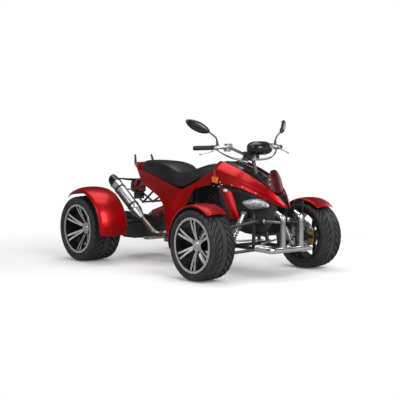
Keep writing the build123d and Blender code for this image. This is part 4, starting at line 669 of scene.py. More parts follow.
def closed_skin(rings):
    """A closed body through rings with the same number of points."""
    shape = bmesh.new()
    ring = [shape.verts.new(point) for point in rings[0]]
    cap = shape.faces.new(ring)
    for number, points in enumerate(rings[1:]):
        made = bmesh.ops.extrude_face_region(shape, geom=[cap])["geom"]
        inner, cap = cap, next(item for item in made if isinstance(item, bmesh.types.BMFace))
        ring = [min(cap.verts, key=lambda vert: (vert.co - old.co).length) for old in ring]
        for vert, point in zip(ring, points):
            vert.co = point
        if number:   # the first face stays, as the body's other end
            bmesh.ops.delete(shape, geom=[inner], context="FACES_ONLY")
    return tidy(shape)


def cut_grid(shape, low, high, axis, step):
    """Cuts a flat shape into strips so that it can bend."""
    normal = Vector([float(number == axis) for number in range(3)])
    for number in range(1, int((high - low) / step) + 1):
        bmesh.ops.bisect_plane(shape, geom=shape.verts[:] + shape.edges[:] + shape.faces[:], dist=0.00001,
                               plane_co=normal * (low + number * step), plane_no=normal)


def rounded_sheet(points, corner, segments):
    """A flat face with rounded corners."""
    shape = bmesh.new()
    shape.faces.new([shape.verts.new(point) for point in points])
    bmesh.ops.bevel(shape, geom=shape.verts[:], offset=corner, segments=segments, affect="VERTICES",
                    profile=0.5, material=-1, clamp_overlap=True)
    return shape


def fender(name, stands_for, body, side, centre, radius, inner, outer, crown, lip, ahead, behind, flick):
    """A mudguard shell: crowned across, lipped at both sides, drawn in at its ends."""
    width = outer - inner
    across = (
        (0.0, -lip), (0.0, -lip * 0.4), (0.012, 0.15 * crown), (0.10, 0.50 * crown), (0.30, 0.90 * crown),
        (0.52, crown), (0.74, 0.86 * crown), (0.90, 0.45 * crown), (0.975, 0.05 * crown), (1.0, -lip * 0.45),
        (1.0, -lip))
    shape = line_of([(inner + share * width, 0, radius + rise) for share, rise in across])
    sweep = radians(ahead + behind)
    bmesh.ops.spin(shape, geom=shape.verts[:] + shape.edges[:], cent=(0, 0, 0), axis=(1, 0, 0), angle=-sweep,
                   steps=30, use_merge=False)
    spun(shape, radians(ahead), "X")
    middle = inner + width * 0.46
    for vert in shape.verts:
        share = (radians(ahead) - atan2(-vert.co.y, vert.co.z)) / sweep
        end = max(0.0, 1 - min(share, 1 - share) / 0.10)
        vert.co.x = middle + (vert.co.x - middle) * (1 - 0.10 * end ** 2)
        reach = hypot(vert.co.y, vert.co.z)
        lift = 1 + (flick * max(0.0, share - 0.86) / 0.14 * max(0.0, (vert.co.x - middle) / width) / reach)
        vert.co.y *= lift
        vert.co.z *= lift
    moved(flipped(facing(shape, UPWARDS), side), centre)
    piece(name, shape, [RED, MOULDED], stands_for, body, sharp=60, modifiers=wall(0.004, 1))


for name, side in SIDES:
    fender("front_fender_shell_" + name, "front_fender_" + name, "knuckle_" + name, side,
           Vector((0, FRONT_AXLE.y, FRONT_AXLE.z)), 0.276, 0.436, 0.612, 0.010, 0.012, 38, 100, 0.0)
    fender("rear_fender_shell_" + name, "rear_fenders", "chassis", side,
           Vector((0, REAR_AXLE.y - 0.040, REAR_AXLE.z + 0.008)), 0.300, 0.402, 0.658, 0.026, 0.016, 98, 37, 0.006)


# Front bodywork
FRONT_PANEL_SHARES = (   # along, then (across, up) from the top edge over the crease to the lower edge
    (-0.192, ((0.290, 0.815), (0.480, 0.755), (0.505, 0.655))),
    (-0.275, ((0.270, 0.768), (0.462, 0.704), (0.480, 0.640))),
    (-0.352, ((0.245, 0.712), (0.400, 0.662), (0.425, 0.618))),
    (-0.4115, ((0.195, 0.642), (0.285, 0.606), (0.285, 0.556))),
    (-0.445, ((0.145, 0.598), (0.200, 0.563), (0.190, 0.524))),
    (-0.484, ((0.022, 0.505), (0.050, 0.499), (0.045, 0.488))),
)
CENTRE_PANEL_SHARES = (   # along, then (across, up) from the middle to the left edge
    (-0.191, ((0.0, 0.806), (0.120, 0.808), (0.286, 0.803))),
    (-0.275, ((0.0, 0.764), (0.120, 0.766), (0.266, 0.756))),
    (-0.352, ((0.0, 0.702), (0.120, 0.704), (0.241, 0.700))),
    (-0.4115, ((0.0, 0.622), (0.100, 0.624), (0.191, 0.630))),
    (-0.445, ((0.0, 0.570), (0.060, 0.572), (0.141, 0.586))),
    (-0.480, ((0.0, 0.500), (0.010, 0.501), (0.030, 0.502))),
)


def front_panel(name, side):
    stations = []
    for along, line in FRONT_PANEL_SHARES:
        top, crease, foot = (spot(x, along, z) for x, z in line)
        crown = (crease - top).cross(Vector((0, 1, 0))).normalized()
        if crown.z < 0:
            crown = -crown
        span = (crease - top).length
        stations.append([
            top, top.lerp(crease, 0.12) + crown * 0.004, top.lerp(crease, 0.5) + crown * span * 0.07,
            top.lerp(crease, 0.88) + crown * span * 0.035, crease,
            crease.lerp(foot, 0.12) - SIDEWAYS * 0.001, crease.lerp(foot, 0.55) - SIDEWAYS * 0.004, foot])
    shape = flipped(facing(sheet_cage(stations), (0.5, 0, 1)), side)
    piece("front_panel_" + name, shape, [RED, MOULDED], "front_panels", sharp=50, modifiers=wall(0.004))


COLUMN_HOLE = 0.024
BOOT_RISE = 0.470   # along the column from its foot


def centre_panel():
    """The black top of the nose, with the hole for the steering column."""
    stations = []
    for along, ((x0, z0), (x1, z1), (x2, z2)) in CENTRE_PANEL_SHARES:
        half = [spot(x0, along, z0), spot(x1 * 0.72, along, z1 - 0.001), spot(x1, along, z1 + 0.003),
                spot(x1 * 0.5 + x2 * 0.5, along, (z1 + z2) / 2), spot(x2, along, z2)]
        stations.append([Vector((-point.x, point.y, point.z)) for point in half[:0:-1]] + half)
    shape = facing(sheet_cage(stations), UPWARDS)
    bmesh.ops.subdivide_edges(shape, edges=shape.edges, cuts=3, use_grid_fill=True)
    inside = []
    for face in shape.faces:
        away = face.calc_center_median() - COLUMN_FOOT
        if (away - COLUMN_AXIS * away.dot(COLUMN_AXIS)).length < COLUMN_HOLE:
            inside.append(face)
    bmesh.ops.delete(shape, geom=inside, context="FACES")
    piece("centre_cover", shape, [GLOSS], "centre_panel", sharp=40, modifiers=wall(0.004, 1, inside=0))


def column_boot():
    """The rubber ring that closes the hole round the steering column."""
    ring = turned([
        (0.017, 0.010), (0.0185, 0.016), (0.024, 0.012), (0.031, 0.004), (0.037, -0.002), (0.038, -0.007),
        (0.036, -0.009), (0.022, -0.006), (0.017, 0.002), (0.017, 0.010)],
        40, COLUMN_FOOT + COLUMN_AXIS * BOOT_RISE, COLUMN_AXIS)
    piece("column_boot", ring, [RUBBER])


for name, side in SIDES:
    front_panel(name, side)
centre_panel()
column_boot()

SCREEN_SHARES = (   # across, up of the left edge, from the foot to the top
    (0.100, 0.592), (0.205, 0.640), (0.190, 0.690), (0.070, 0.752), (0.0, 0.758),
)
SCREEN_FOOT, SCREEN_FRONT = 0.590, -0.880 + MIDDLE_SHIFT
SCREEN_BOW, SCREEN_LEAN = 0.120, 0.35


def screen_depth(x, z):
    return SCREEN_FRONT + SCREEN_BOW - (SCREEN_BOW ** 2 - x ** 2) ** 0.5 + (z - SCREEN_FOOT) * SCREEN_LEAN


def flyscreen():
    """A pointed smoked screen bowed round the nose and leaning back, with four domed fixings."""
    half = [(x * BODY_WIDTH, z * BODY_HEIGHT) for x, z in SCREEN_SHARES]
    shape = rounded_sheet([(x, 0, z) for x, z in half + [(-x, z) for x, z in half[-2::-1]]], 0.004, 3)
    cut_grid(shape, -0.085, 0.085, 0, 0.008)
    cut_grid(shape, SCREEN_FOOT, 0.760, 2, 0.016)
    for vert in shape.verts:
        vert.co.y = screen_depth(vert.co.x, vert.co.z)
    piece("smoked_screen", facing(shape, (0, -1, 0.3)), [SMOKED], "flyscreen", sharp=40,
          modifiers=(("SOLIDIFY", {"thickness": 0.0035, "offset": -1.0}),))
    fixings = bmesh.new()
    for x, z in ((0.052, 0.690), (0.058, 0.655), (-0.052, 0.690), (-0.058, 0.655)):
        joined(fixings, turned([(0.0, 0.0045), (0.003, 0.0040), (0.0055, 0.0020), (0.006, 0.0), (0.0, -0.004)], 14,
                               Vector((x, screen_depth(x, z), z)), (x * 6, -1, SCREEN_LEAN)))
    piece("screen_bolts", fixings, [CHROME])


flyscreen()

HEADLAMP_SHARES = (   # along, then (across, up) round the lamp
    (-0.337, ((0.420, 0.516), (0.440, 0.523), (0.425, 0.531), (0.405, 0.524))),
    (-0.362, ((0.345, 0.468), (0.430, 0.500), (0.410, 0.548), (0.320, 0.540))),
    (-0.395, ((0.290, 0.474), (0.375, 0.505), (0.355, 0.560), (0.240, 0.552))),
    (-0.420, ((0.235, 0.486), (0.310, 0.508), (0.285, 0.545), (0.190, 0.545))),
    (-0.437, ((0.215, 0.492), (0.238, 0.499), (0.225, 0.510), (0.200, 0.505))),
)
NOSE_LINER_SHARES = (   # along, then (across, up) of the top and the foot
    (-0.200, (0.400, 0.652), (0.290, 0.400)),
    (-0.275, (0.390, 0.636), (0.240, 0.300)),
    (-0.352, (0.320, 0.610), (0.235, 0.292)),
    (-0.395, (0.235, 0.578), (0.215, 0.294)),
    (-0.420, (0.190, 0.548), (0.180, 0.330)),
    (-0.450, (0.120, 0.522), (0.100, 0.440)),
)
NOSE_BOLT_SHARES = (   # across, along, up
    (0.495, -0.235, 0.662), (0.468, -0.292, 0.642), (0.425, -0.340, 0.632), (0.330, -0.388, 0.592),
)


def lamp_skin(scale, side, shift=(0, 0, 0)):
    """A body through the lamp's outlines, each drawn in about its middle."""
    rings = []
    for along, line in HEADLAMP_SHARES:
        points = [spot(x, along, z) for x, z in line]
        middle = sum(points, Vector()) / 4
        whole = []
        for point, following in zip(points, points[1:] + points[:1]):
            half_way = point.lerp(following, 0.5)
            whole += [point, half_way + (half_way - middle) * 0.22]
        rings.append([middle + (point - middle) * scale + Vector(shift) for point in whole])
    return flipped(closed_skin(rings), side)


def headlamp(name, side):
    piece("lamp_glass_" + name, lamp_skin(1.0, side), [CLEAR], "headlamps", sharp=60, modifiers=softened(2))
    # the reflector's light and dark grey facets are painted reflection
    piece("lamp_reflector_" + name, lamp_skin(0.84, side), [REFLECTOR], sharp=20, modifiers=softened(1))


def nose_liner(name, side):
    """The dark inner wing that closes the gap below the front panel, behind the headlamp."""
    stations = []
    for along, (x0, z0), (x1, z1) in NOSE_LINER_SHARES:
        top, foot = spot(x0, along, z0), spot(x1, along, z1)
        stations.append([top, top.lerp(foot, 0.25) + SIDEWAYS * 0.006, top.lerp(foot, 0.55) - SIDEWAYS * 0.004, foot])
    shape = flipped(facing(sheet_cage(stations), SIDEWAYS), side)
    piece("nose_liner_" + name, shape, [MOULDED], sharp=50, modifiers=wall(0.003, 1, inside=0))
    piece("lamp_shell_" + name, lamp_skin(1.05, side, (-0.010, 0.003, 0.0)), [GLOSS], sharp=60, modifiers=softened(1))
    marker = ball(24, 12, 1)
    bmesh.ops.scale(marker, vec=(0.0075, 0.0215, 0.0115), verts=marker.verts)
    piece("side_lamp_" + name, flipped(moved(marker, mm(214, -545, 605)), side), [OPAL], sharp=60)
    fixings = bmesh.new()
    for share in NOSE_BOLT_SHARES:
        joined(fixings, turned([(0.0, 0.0050), (0.004, 0.0042), (0.0066, 0.0020), (0.0072, 0.0), (0.0, -0.004)], 16,
                               spot(*share), (1, -0.25, 0.1)))
    piece("nose_bolts_" + name, flipped(fixings, side), [CHROME])


for name, side in SIDES:
    headlamp(name, side)
    nose_liner(name, side)


# Side panels
REAR_PANEL_SHARES = (   # along, up
    (-0.183, 0.750), (-0.095, 0.655), (0.006, 0.584), (0.140, 0.651), (0.279, 0.717), (0.349, 0.768), (0.350, 0.742),
    (0.280, 0.612), (0.154, 0.515), (0.118, 0.455), (0.102, 0.335), (0.092, 0.200), (0.050, 0.130),
    (0.039, 0.359), (0.012, 0.401), (-0.016, 0.449), (-0.040, 0.519), (-0.070, 0.597), (-0.183, 0.640),
)
REAR_PANEL_BEND_SHARES = (   # up, then (along, across) from front to rear
    (0.120, ((-0.190, 0.500), (0.060, 0.500), (0.360, 0.400))),
    (0.360, ((-0.190, 0.500), (0.060, 0.480), (0.360, 0.380))),
    (0.590, ((-0.190, 0.500), (0.006, 0.455), (0.360, 0.340))),
    (0.780, ((-0.190, 0.470), (0.006, 0.420), (0.360, 0.240))),
)
LOWER_PANEL_SHARES = (   # along, up
    (-0.236, 0.634), (-0.297, 0.600), (-0.316, 0.530), (-0.330, 0.465), (-0.345, 0.405), (-0.297, 0.400),
    (-0.280, 0.455), (-0.262, 0.520),
)
FOLD_TOP, FOLD_FOOT = mm(0, 38, 573), mm(0, 159, 388)
FOLD_FADE = (0.650, 0.060)                     # where the flange ends above, and over what height
FLANGE_SLOPE, FLANGE_DEPTH = 0.30, 0.0135
LOWER_PANEL_TOP, LOWER_PANEL_FOOT = spot(0, -0.262, 0.617), spot(0, -0.321, 0.4025)
LOWER_PANEL_OUT, LOWER_PANEL_CROWN = 0.2172, 7.5
LOWER_PANEL_TUCK = (0.35, 0.006)               # the share of its height that turns in, and how steeply


def off_line(y, z, top, foot):
    """How far a place lies off the line from top to foot, seen from the side."""
    run = (foot - top).normalized()
    return (z - top.z) * run.y - (y - top.y) * run.z


def rear_reach(y, z):
    """The rear panel's surface, smooth through its table, with a flange turned in ahead of the fold."""
    fade = min(max((FOLD_FADE[0] - z) / FOLD_FADE[1], 0.0), 1.0)
    flange = min(FLANGE_SLOPE * max(-off_line(y, z, FOLD_TOP, FOLD_FOOT), 0.0), FLANGE_DEPTH) * fade
    along, up = (y - MIDDLE_SHIFT) / BODY_LENGTH, z / BODY_HEIGHT
    rows = []
    for height, ((y0, x0), (y1, x1), (y2, x2)) in REAR_PANEL_BEND_SHARES:
        rows.append((height, x0 * (along - y1) * (along - y2) / ((y0 - y1) * (y0 - y2))
                     + x1 * (along - y0) * (along - y2) / ((y1 - y0) * (y1 - y2))
                     + x2 * (along - y0) * (along - y1) / ((y2 - y0) * (y2 - y1))))
    low, high = next(pair for pair in zip(rows, rows[1:]) if up <= pair[1][0] or pair[1] is rows[-1])
    share = min(max((up - low[0]) / (high[0] - low[0]), 0), 1)
    share = share * 0.4 + 0.6 * share * share * (3 - 2 * share)
    return (low[1] + (high[1] - low[1]) * share) * BODY_WIDTH - flange


def lower_reach(y, z):
    """The lower panel's surface, crowned across its width and turned in a little at its foot."""
    down = (z - LOWER_PANEL_FOOT.z) / (LOWER_PANEL_TOP.z - LOWER_PANEL_FOOT.z)
    crown = LOWER_PANEL_CROWN * off_line(y, z, LOWER_PANEL_TOP, LOWER_PANEL_FOOT) ** 2
    return LOWER_PANEL_OUT - crown - LOWER_PANEL_TUCK[1] * max(LOWER_PANEL_TUCK[0] - down, 0.0)


def cut_panel(name, side, shares, corner, step, reach, stands_for):
    """A thin moulded side panel: a flat outline with rounded corners, drawn out to its curved surface."""
    outline = [(0, along * BODY_LENGTH + MIDDLE_SHIFT, up * BODY_HEIGHT) for along, up in shares]
    shape = rounded_sheet(outline, corner, 4)
    for axis in (1, 2):
        places = [vert.co[axis] for vert in shape.verts]
        cut_grid(shape, min(places), max(places), axis, step)
    for vert in shape.verts:
        vert.co.x = reach(vert.co.y, vert.co.z)
    bmesh.ops.triangulate(shape, faces=[face for face in shape.faces if len(face.verts) > 4])
    piece(name, flipped(facing(shape, SIDEWAYS), side), [RED, MOULDED], stands_for, sharp=35,
          modifiers=(("SOLIDIFY", {"thickness": 0.0045, "offset": -1.0, "material_offset": 1}),
                     ("BEVEL", {"width": 0.0012, "segments": 2, "limit_method": "ANGLE", "angle_limit": radians(60)})))


PAD_MIDDLE = Vector((0.272, 0.253, 0.2182))
PAD_RIBS, RIB_PITCH, RIB_RISE = 9, 0.014, 0.004


def footrest_pads():
    """Ribbed rubber on the pegs."""
    shape = bmesh.new()
    x, y, z = PAD_MIDDLE
    for side in (1, -1):
        joined(shape, rounded_box(0.126, 0.050, 0.005, 0.0015, (side * x, y, z), segments=2))
        for number in range(PAD_RIBS):
            across = x + RIB_PITCH * (number - PAD_RIBS // 2)
            joined(shape, rounded_box(0.006, 0.046, 0.004, 0.0012, (side * across, y, z + RIB_RISE), segments=2))
    piece("footrest_pads", shape, [RUBBER])


for name, side in SIDES:
    cut_panel("rear_panel_" + name, side, REAR_PANEL_SHARES, 0.018, 0.018, rear_reach, "rear_panels")
    cut_panel("lower_panel_" + name, side, LOWER_PANEL_SHARES, 0.014, 0.010, lower_reach, "lower_panels")
footrest_pads()


# Saddle and tail
SEAM_ALONG = 0.1165     # the cross seam lies just behind this outline
SEAT_SHARES = (   # along, half width at top, top, half width at foot, foot
    (-0.165, 0.160, 0.790, 0.250, 0.7522),
    (-0.077, 0.210, 0.786, 0.400, 0.6670),
    (0.0085, 0.260, 0.722, 0.440, 0.5860),
    (0.0605, 0.290, 0.714, 0.430, 0.6114),
    (SEAM_ALONG, 0.320, 0.768, 0.410, 0.6387),
    (0.1675, 0.320, 0.792, 0.390, 0.6636),
    (0.279, 0.290, 0.797, 0.340, 0.7180),
    (0.315, 0.220, 0.790, 0.300, 0.7355),
)
SEAM_SHRINK = 0.975
TAIL_SHARES = (   # along, half width, top, foot
    (0.3152, 0.320, 0.772, 0.715), (0.332, 0.305, 0.775, 0.727), (0.350, 0.280, 0.776, 0.740),
    (0.364, 0.200, 0.774, 0.748), (0.372, 0.150, 0.772, 0.752),
)
GRAB_RAIL_SHARES = ((0.235, 0.3080, 0.7192), (0.232, 0.3620, 0.757), (0.205, 0.3715, 0.834))   # across, along, up


def seat_ring(along, half_top, top, half_foot, foot, seam=False):
    """One outline of the saddle: flat foot, side, sewn edge and a crowned top."""
    y = along * BODY_LENGTH + MIDDLE_SHIFT
    wide, high = half_top * BODY_WIDTH, top * BODY_HEIGHT
    low_wide, low = half_foot * BODY_WIDTH, foot * BODY_HEIGHT
    half = [
        (low_wide - 0.002, low), (low_wide, low + 0.004),
        (low_wide + (wide - low_wide) * 0.55 + 0.006, low + (high - low) * 0.48), (wide + 0.003, high - 0.026),
        (wide - 0.001, high - 0.0190), (wide - 0.0035, high - 0.0165), (wide - 0.004, high - 0.0135),
        (wide - 0.020, high - 0.004), (wide * 0.45, high + 0.0015), (0.0, high + 0.002)]
    points = half + [(-x, z) for x, z in half[-2::-1]]
    if seam:
        points = [(x * SEAM_SHRINK, low + (z - low) * SEAM_SHRINK) for x, z in points]
    return [Vector((x, y, z)) for x, z in points]


def end_ring(along, half_top, top, half_foot, foot, low, shift):
    """A smaller outline that closes an end of the saddle."""
    ring = seat_ring(along, half_top * 0.8, top - low, half_foot * 0.9, foot)
    return [point + Vector(shift) for point in ring]


def seat():
    rings = [end_ring(*SEAT_SHARES[0], 0.016, (0, -0.0005, -0.004))]
    for first, second in zip(SEAT_SHARES, SEAT_SHARES[1:]):
        rings.append(seat_ring(*first))
        if first[0] == SEAM_ALONG:
            for step, seam in ((0.10, False), (0.16, True), (0.22, False)):
                rings.append(seat_ring(*(a + (b - a) * step for a, b in zip(first, second)), seam))
    rings.append(seat_ring(*SEAT_SHARES[-1]))
    rings.append(end_ring(*SEAT_SHARES[-1][:4], SEAT_SHARES[-1][4] + 0.002, 0.018, (0, 0.0005, 0)))
    made = piece("saddle", closed_skin(rings), [VINYL], "seat", sharp=180, modifiers=softened(2))


def tail_cover():
    rings = []
    for along, half, top, foot in TAIL_SHARES:
        wide, high, low = half * BODY_WIDTH, top * BODY_HEIGHT, foot * BODY_HEIGHT
        line = [(wide, low), (wide, high - 0.006), (wide - 0.008, high), (wide * 0.4, high + 0.001)]
        rings.append([Vector((x, along * BODY_LENGTH + MIDDLE_SHIFT, z))
                      for x, z in line + [(-x, z) for x, z in line[::-1]]])
    shape = closed_skin(rings)
    bmesh.ops.bevel(shape, geom=[edge for edge in shape.edges if edge.calc_face_angle(0) > 0.8], offset=0.003,
                    segments=3, affect="EDGES", profile=0.5, material=-1)
    piece("tail_cowl", shape, [RED], "tail_cover", sharp=35)


def grab_rails():
    rails = bmesh.new()
    for side in (1, -1):
        foot, bend, tip = (spot(side * across, along, up) for across, along, up in GRAB_RAIL_SHARES)
        blade = hose([foot, bend - (bend - foot).normalized() * 0.012, bend, tip], 0.0080, 0.012)
        for vert in blade.verts:   # the upright is a fin, deep at its foot and drawn in at its tip
            rise = (vert.co.z - bend.z) / (tip.z - bend.z)
            middle = bend.y + (tip.y - bend.y) * rise
            vert.co.y += (vert.co.y - middle) * (0.9 - 0.9 * rise) * min(max(rise * 5 + 0.5, 0.0), 1.0)
        end = turned([(0.0, 0.003), (0.005, 0.0028), (0.0078, 0.0), (0.0078, -0.004), (0.0, -0.004)], 24,
                     tip, tip - bend)
        collar = turned([(0.0080, -0.008), (0.0108, -0.007), (0.0112, 0.0), (0.0108, 0.007), (0.0080, 0.008)], 28,
                        foot.lerp(bend, 0.80), bend - foot)
        joined(rails, blade, end, collar)
    piece("grab_handles", rails, [MOULDED], "grab_rails")


seat()
tail_cover()
grab_rails()


# Bumper, in polished tube
BUMPER_FRONT, BUMPER_FOOT = -1.0055 + MIDDLE_SHIFT, 0.209
UPRIGHT_X, STAY_X, STAY_RUN = 0.086, 0.1217, 0.1655


def bumper():
    front, low = BUMPER_FRONT, BUMPER_FOOT
    shape = hose([(-0.245, front + 0.105, low + 0.016), (-0.190, front, low), (0.190, front, low),
                  (0.245, front + 0.105, low + 0.016)], 0.0205, 0.052, ring=7)
    for side in (1, -1):
        x = side * UPRIGHT_X
        joined(shape, hose([(x, front, low), (x, front, 0.430), (x, front + 0.0605, 0.460)], 0.0200, 0.058, ring=7))
        for start, end in ((0.400, 0.400), (low, 0.200)):
            joined(shape, hose([(x, front, start), (side * STAY_X, front + STAY_RUN, end)], 0.009))
        for edge, rim, location, direction in (
                (0.0185, 0.0198, (x, front + 0.0600, 0.4598), (0, 0.0605, 0.030)),
                (0.0188, 0.0203, (side * 0.2448, front + 0.1046, low + 0.016), (side * 0.055, 0.105, 0.016))):
            joined(shape, turned([(0.0, 0.0035), (0.012, 0.0030), (edge, 0.0008), (rim, -0.0020), (0.0, -0.0020)], 28,
                                 location, direction))
        for height in (low, 0.400):
            joined(shape, turned([(0.0, -0.004), (0.0150, -0.004), (0.0165, 0.0), (0.0150, 0.004), (0.0, 0.004)], 24,
                                 (side * 0.1190, front + 0.155, height), (side * 0.21, 1, 0)))
    piece("bumper_tubes", shape, [CHROME], "bumper", sharp=40)


bumper()


# Handlebar, grips, levers and clocks, all on the steering
BAR_SHARES = (   # across, along, up of the left half, from the middle out
    (0.150, -0.2830, 0.864), (0.400, -0.2755, 0.905), (0.660, -0.2735, 0.912), (1.070, -0.2235, 0.908),
)
BAR_END = spot(*BAR_SHARES[-1])
BAR_RUN = (BAR_END - spot(*BAR_SHARES[-2])).normalized()
BAR_FRONT = BAR_RUN.cross(UPWARDS).normalized()
BAR_TURN = atan2(BAR_RUN.y, BAR_RUN.x)
BAR_MIDDLE = spot(0, *BAR_SHARES[0][1:])
GRIP_START = BAR_END - BAR_RUN * 0.136
PERCH = GRIP_START - BAR_RUN * 0.022
GRIP_STEPS = 40


def handlebar():
    points = [spot(-x, y, z) for x, y, z in BAR_SHARES[::-1]] + [spot(*point) for point in BAR_SHARES]
    tube = hose(points, 0.011, 0.05, ring=6)
    plugs = bmesh.new()
    for side in (1, -1):
        plug = turned([(0.0, 0.011), (0.010, 0.011), (0.0145, 0.009), (0.0155, 0.005), (0.0155, -0.001),
                       (0.0140, -0.003), (0.0, -0.003)], 28)
        run = Vector((side * BAR_RUN.x, BAR_RUN.y, BAR_RUN.z))
        end = Vector((side * BAR_END.x, BAR_END.y, BAR_END.z))
        joined(plugs, place(plug, end - run * 0.0085, run))
    piece("bar_plugs", plugs, [GLOSS], body="steering", sharp=40)
    piece("bar_tube", tube, [CHROME], "handlebar", "steering", sharp=40)
    clamps = bmesh.new()
    for shift in (-0.030, 0.030):
        joined(clamps, rounded_box(0.026, 0.046, 0.026, 0.005, BAR_MIDDLE + Vector((shift, 0, -0.015))),
               rounded_box(0.026, 0.046, 0.014, 0.005, BAR_MIDDLE + Vector((shift, 0, 0.0095))))
        for step in (-0.016, 0.016):
            joined(clamps, bolt(BAR_MIDDLE + Vector((shift, step, 0.0163)), UPWARDS, 0.0045, 0.005))
    joined(clamps, rounded_box(0.096, 0.060, 0.020, 0.006, BAR_MIDDLE + Vector((0, 0.006, -0.036))),
           hose([COLUMN_TOP - COLUMN_AXIS * 0.030, COLUMN_TOP + COLUMN_AXIS * 0.002], 0.021, ring=6))
    piece("bar_clamps", clamps, [CAST], body="steering")


def grips():
    profile = [(0.0118, 0.0), (0.0200, 0.0), (0.0205, 0.0015), (0.0205, 0.0045), (0.0185, 0.0055)]
    for number in range(15):
        start = 0.008 + number * 0.0078
        profile += [(0.0160, start), (0.0170, start + 0.0012), (0.0170, start + 0.0052), (0.0160, start + 0.0064)]
    profile += [(0.0168, 0.1265), (0.0162, 0.128), (0.0118, 0.128)]
    for name, side in SIDES:
        shape = turned(profile, GRIP_STEPS)
        flutes = []
        for face in shape.faces:
            middle = face.calc_center_median()
            ribbed = hypot(middle.x, middle.y) > 0.01665 and 0.008 < middle.z < 0.125
            if ribbed and column_of(middle.y, middle.x, GRIP_STEPS) % 4 == 0:
                flutes.append(face)
        bmesh.ops.inset_region(shape, faces=flutes, thickness=0.0004, depth=-0.0008)
        piece("grip_sleeve_" + name, flipped(place(shape, GRIP_START, BAR_RUN), side), [RUBBER], "grips", "steering",
              sharp=35)


def lever_blade():
    """A curved flat blade with a ball end, from its perch to its tip."""
    start, tip = spot(0.830, -0.2772, 0.890), spot(1.0725, -0.2630, 0.866)
    knee = start.lerp(tip, 0.35) + BAR_FRONT * 0.004
    blade = hose([PERCH + BAR_FRONT * 0.016, start, knee, start.lerp(tip, 0.75), tip], 0.0048, ring=5)
    return joined(blade, ball(16, 10, 0.0075, tip), cone(20, 0.0075, 0.0075, 0.017, PERCH + BAR_FRONT * 0.024))


def controls():
    """The lever, its fluid box and the switch box of each side."""
    holder = spot(0.500, -0.2810, 0.924)
    for name, side in SIDES:
        perch = turned([(0.0115, 0.0), (0.0165, 0.0), (0.0180, 0.0015), (0.0180, 0.0200), (0.0165, 0.0215),
                        (0.0115, 0.0215)], 32, GRIP_START - BAR_RUN * 0.044, BAR_RUN)
        arm = spun(rounded_box(0.026, 0.024, 0.014, 0.004), BAR_TURN, "Z")
        clamp = spun(rounded_box(0.044, 0.036, 0.038, 0.006), 0.06, "Z")
        box = rounded_box(0.052, 0.038, 0.026, 0.005, holder + Vector((0, 0, -0.004)))
        joined(box, rounded_box(0.051, 0.037, 0.007, 0.003, holder + Vector((0, 0, 0.0125))),
               place(clamp, spot(0.500, -0.2750, 0.902)))
        for dx, dy in ((0.020, 0.013), (-0.020, 0.013), (0.020, -0.013), (-0.020, -0.013)):
            joined(box, bolt(holder + Vector((dx, dy, 0.0155)), UPWARDS, 0.0028, 0.0015))
        sight = turned([(0.0, 0.0015), (0.0055, 0.0012), (0.0070, 0.0018), (0.0075, 0.0), (0.0075, -0.003),
                        (0.0, -0.003)], 20, holder + Vector((0.004, -0.0190, -0.005)), (0, -1, 0))
        cylinder = hose([holder + Vector((0.010, -0.004, -0.006)), PERCH + BAR_FRONT * 0.012], 0.0105, ring=5)
        metal = joined(lever_blade(), perch, place(arm, PERCH + BAR_FRONT * 0.020), box, sight, cylinder)
        piece("lever_and_master_" + name, flipped(metal, side), [CAST], "controls", "steering", sharp=35)
        switches = rounded_box(0.026, 0.036, 0.036, 0.006)
        for number, height in enumerate((0.010, -0.001, -0.011)):
            joined(switches, rounded_box(0.013, 0.006, 0.007, 0.002, Vector((0.002 * number - 0.002, 0.0190, height))))
        place(spun(switches, BAR_TURN, "Z"), GRIP_START - BAR_RUN * 0.0140)
        piece("switch_box_" + name, flipped(switches, side), [MOULDED], body="steering", sharp=35)


POD_SHARES = (   # along, half width, middle height, half height
    (-0.304, 0.150, 0.902, 0.032), (-0.316, 0.225, 0.904, 0.050),
    (-0.350, 0.235, 0.906, 0.050), (-0.376, 0.130, 0.900, 0.026),
)


POD_POINTS = 16
DIAL_SHAPE = (1.22, 0.62, 1)


def instrument_pod():
    rows = []
    for first, second in zip(POD_SHARES, POD_SHARES[1:]):
        rows += [first, tuple((a + b) / 2 for a, b in zip(first, second))]
    rings = []
    for along, half, middle, height in rows + [POD_SHARES[-1]]:
        ring = []
        for number in range(POD_POINTS):
            turn = 2 * pi * number / POD_POINTS
            x, z = cos(turn), sin(turn)
            bulge = 1.14 if abs(x) > 0.3 and abs(z) > 0.3 else 1.0
            reach = Vector((half * BODY_WIDTH * x, 0, height * BODY_HEIGHT * z * (1.0 if z > 0 else 0.94)))
            ring.append(spot(0, along, middle) + reach * bulge)
        rings.append(ring)
    piece("clock_shell", closed_skin(rings), [GLOSS], "instrument_pod", "steering", sharp=60, modifiers=softened(1))
    centre = spot(0, -0.304, 0.902) + Vector((0, 0.0015, 0))
    for name, finish, profile in (
            ("clock_bezel", CHROME, [(0.0400, 0.000), (0.0430, 0.003), (0.0455, 0.002), (0.0465, -0.003),
                                     (0.0400, -0.003), (0.0400, 0.000)]),
            ("clock_face", GLOSS, [(0.0, 0.0012), (0.0405, 0.0010), (0.0405, -0.002), (0.0, -0.002)])):
        shape = turned(profile, 48)
        bmesh.ops.scale(shape, vec=DIAL_SHAPE, verts=shape.verts)
        piece(name, place(shape, centre, (0, 1, 0)), [finish], body="steering", sharp=40)
    stay = bmesh.new()
    for shift in (-0.018, 0.018):
        joined(stay, hose([BAR_MIDDLE + Vector((shift, -0.010, 0.004)), BAR_MIDDLE + Vector((shift, -0.050, 0.012)),
                           spot(0, -0.322, 0.880) + Vector((shift, 0, 0))], 0.0055))
    piece("clock_stay", stay, [FRAME_PAINT], body="steering", sharp=40)


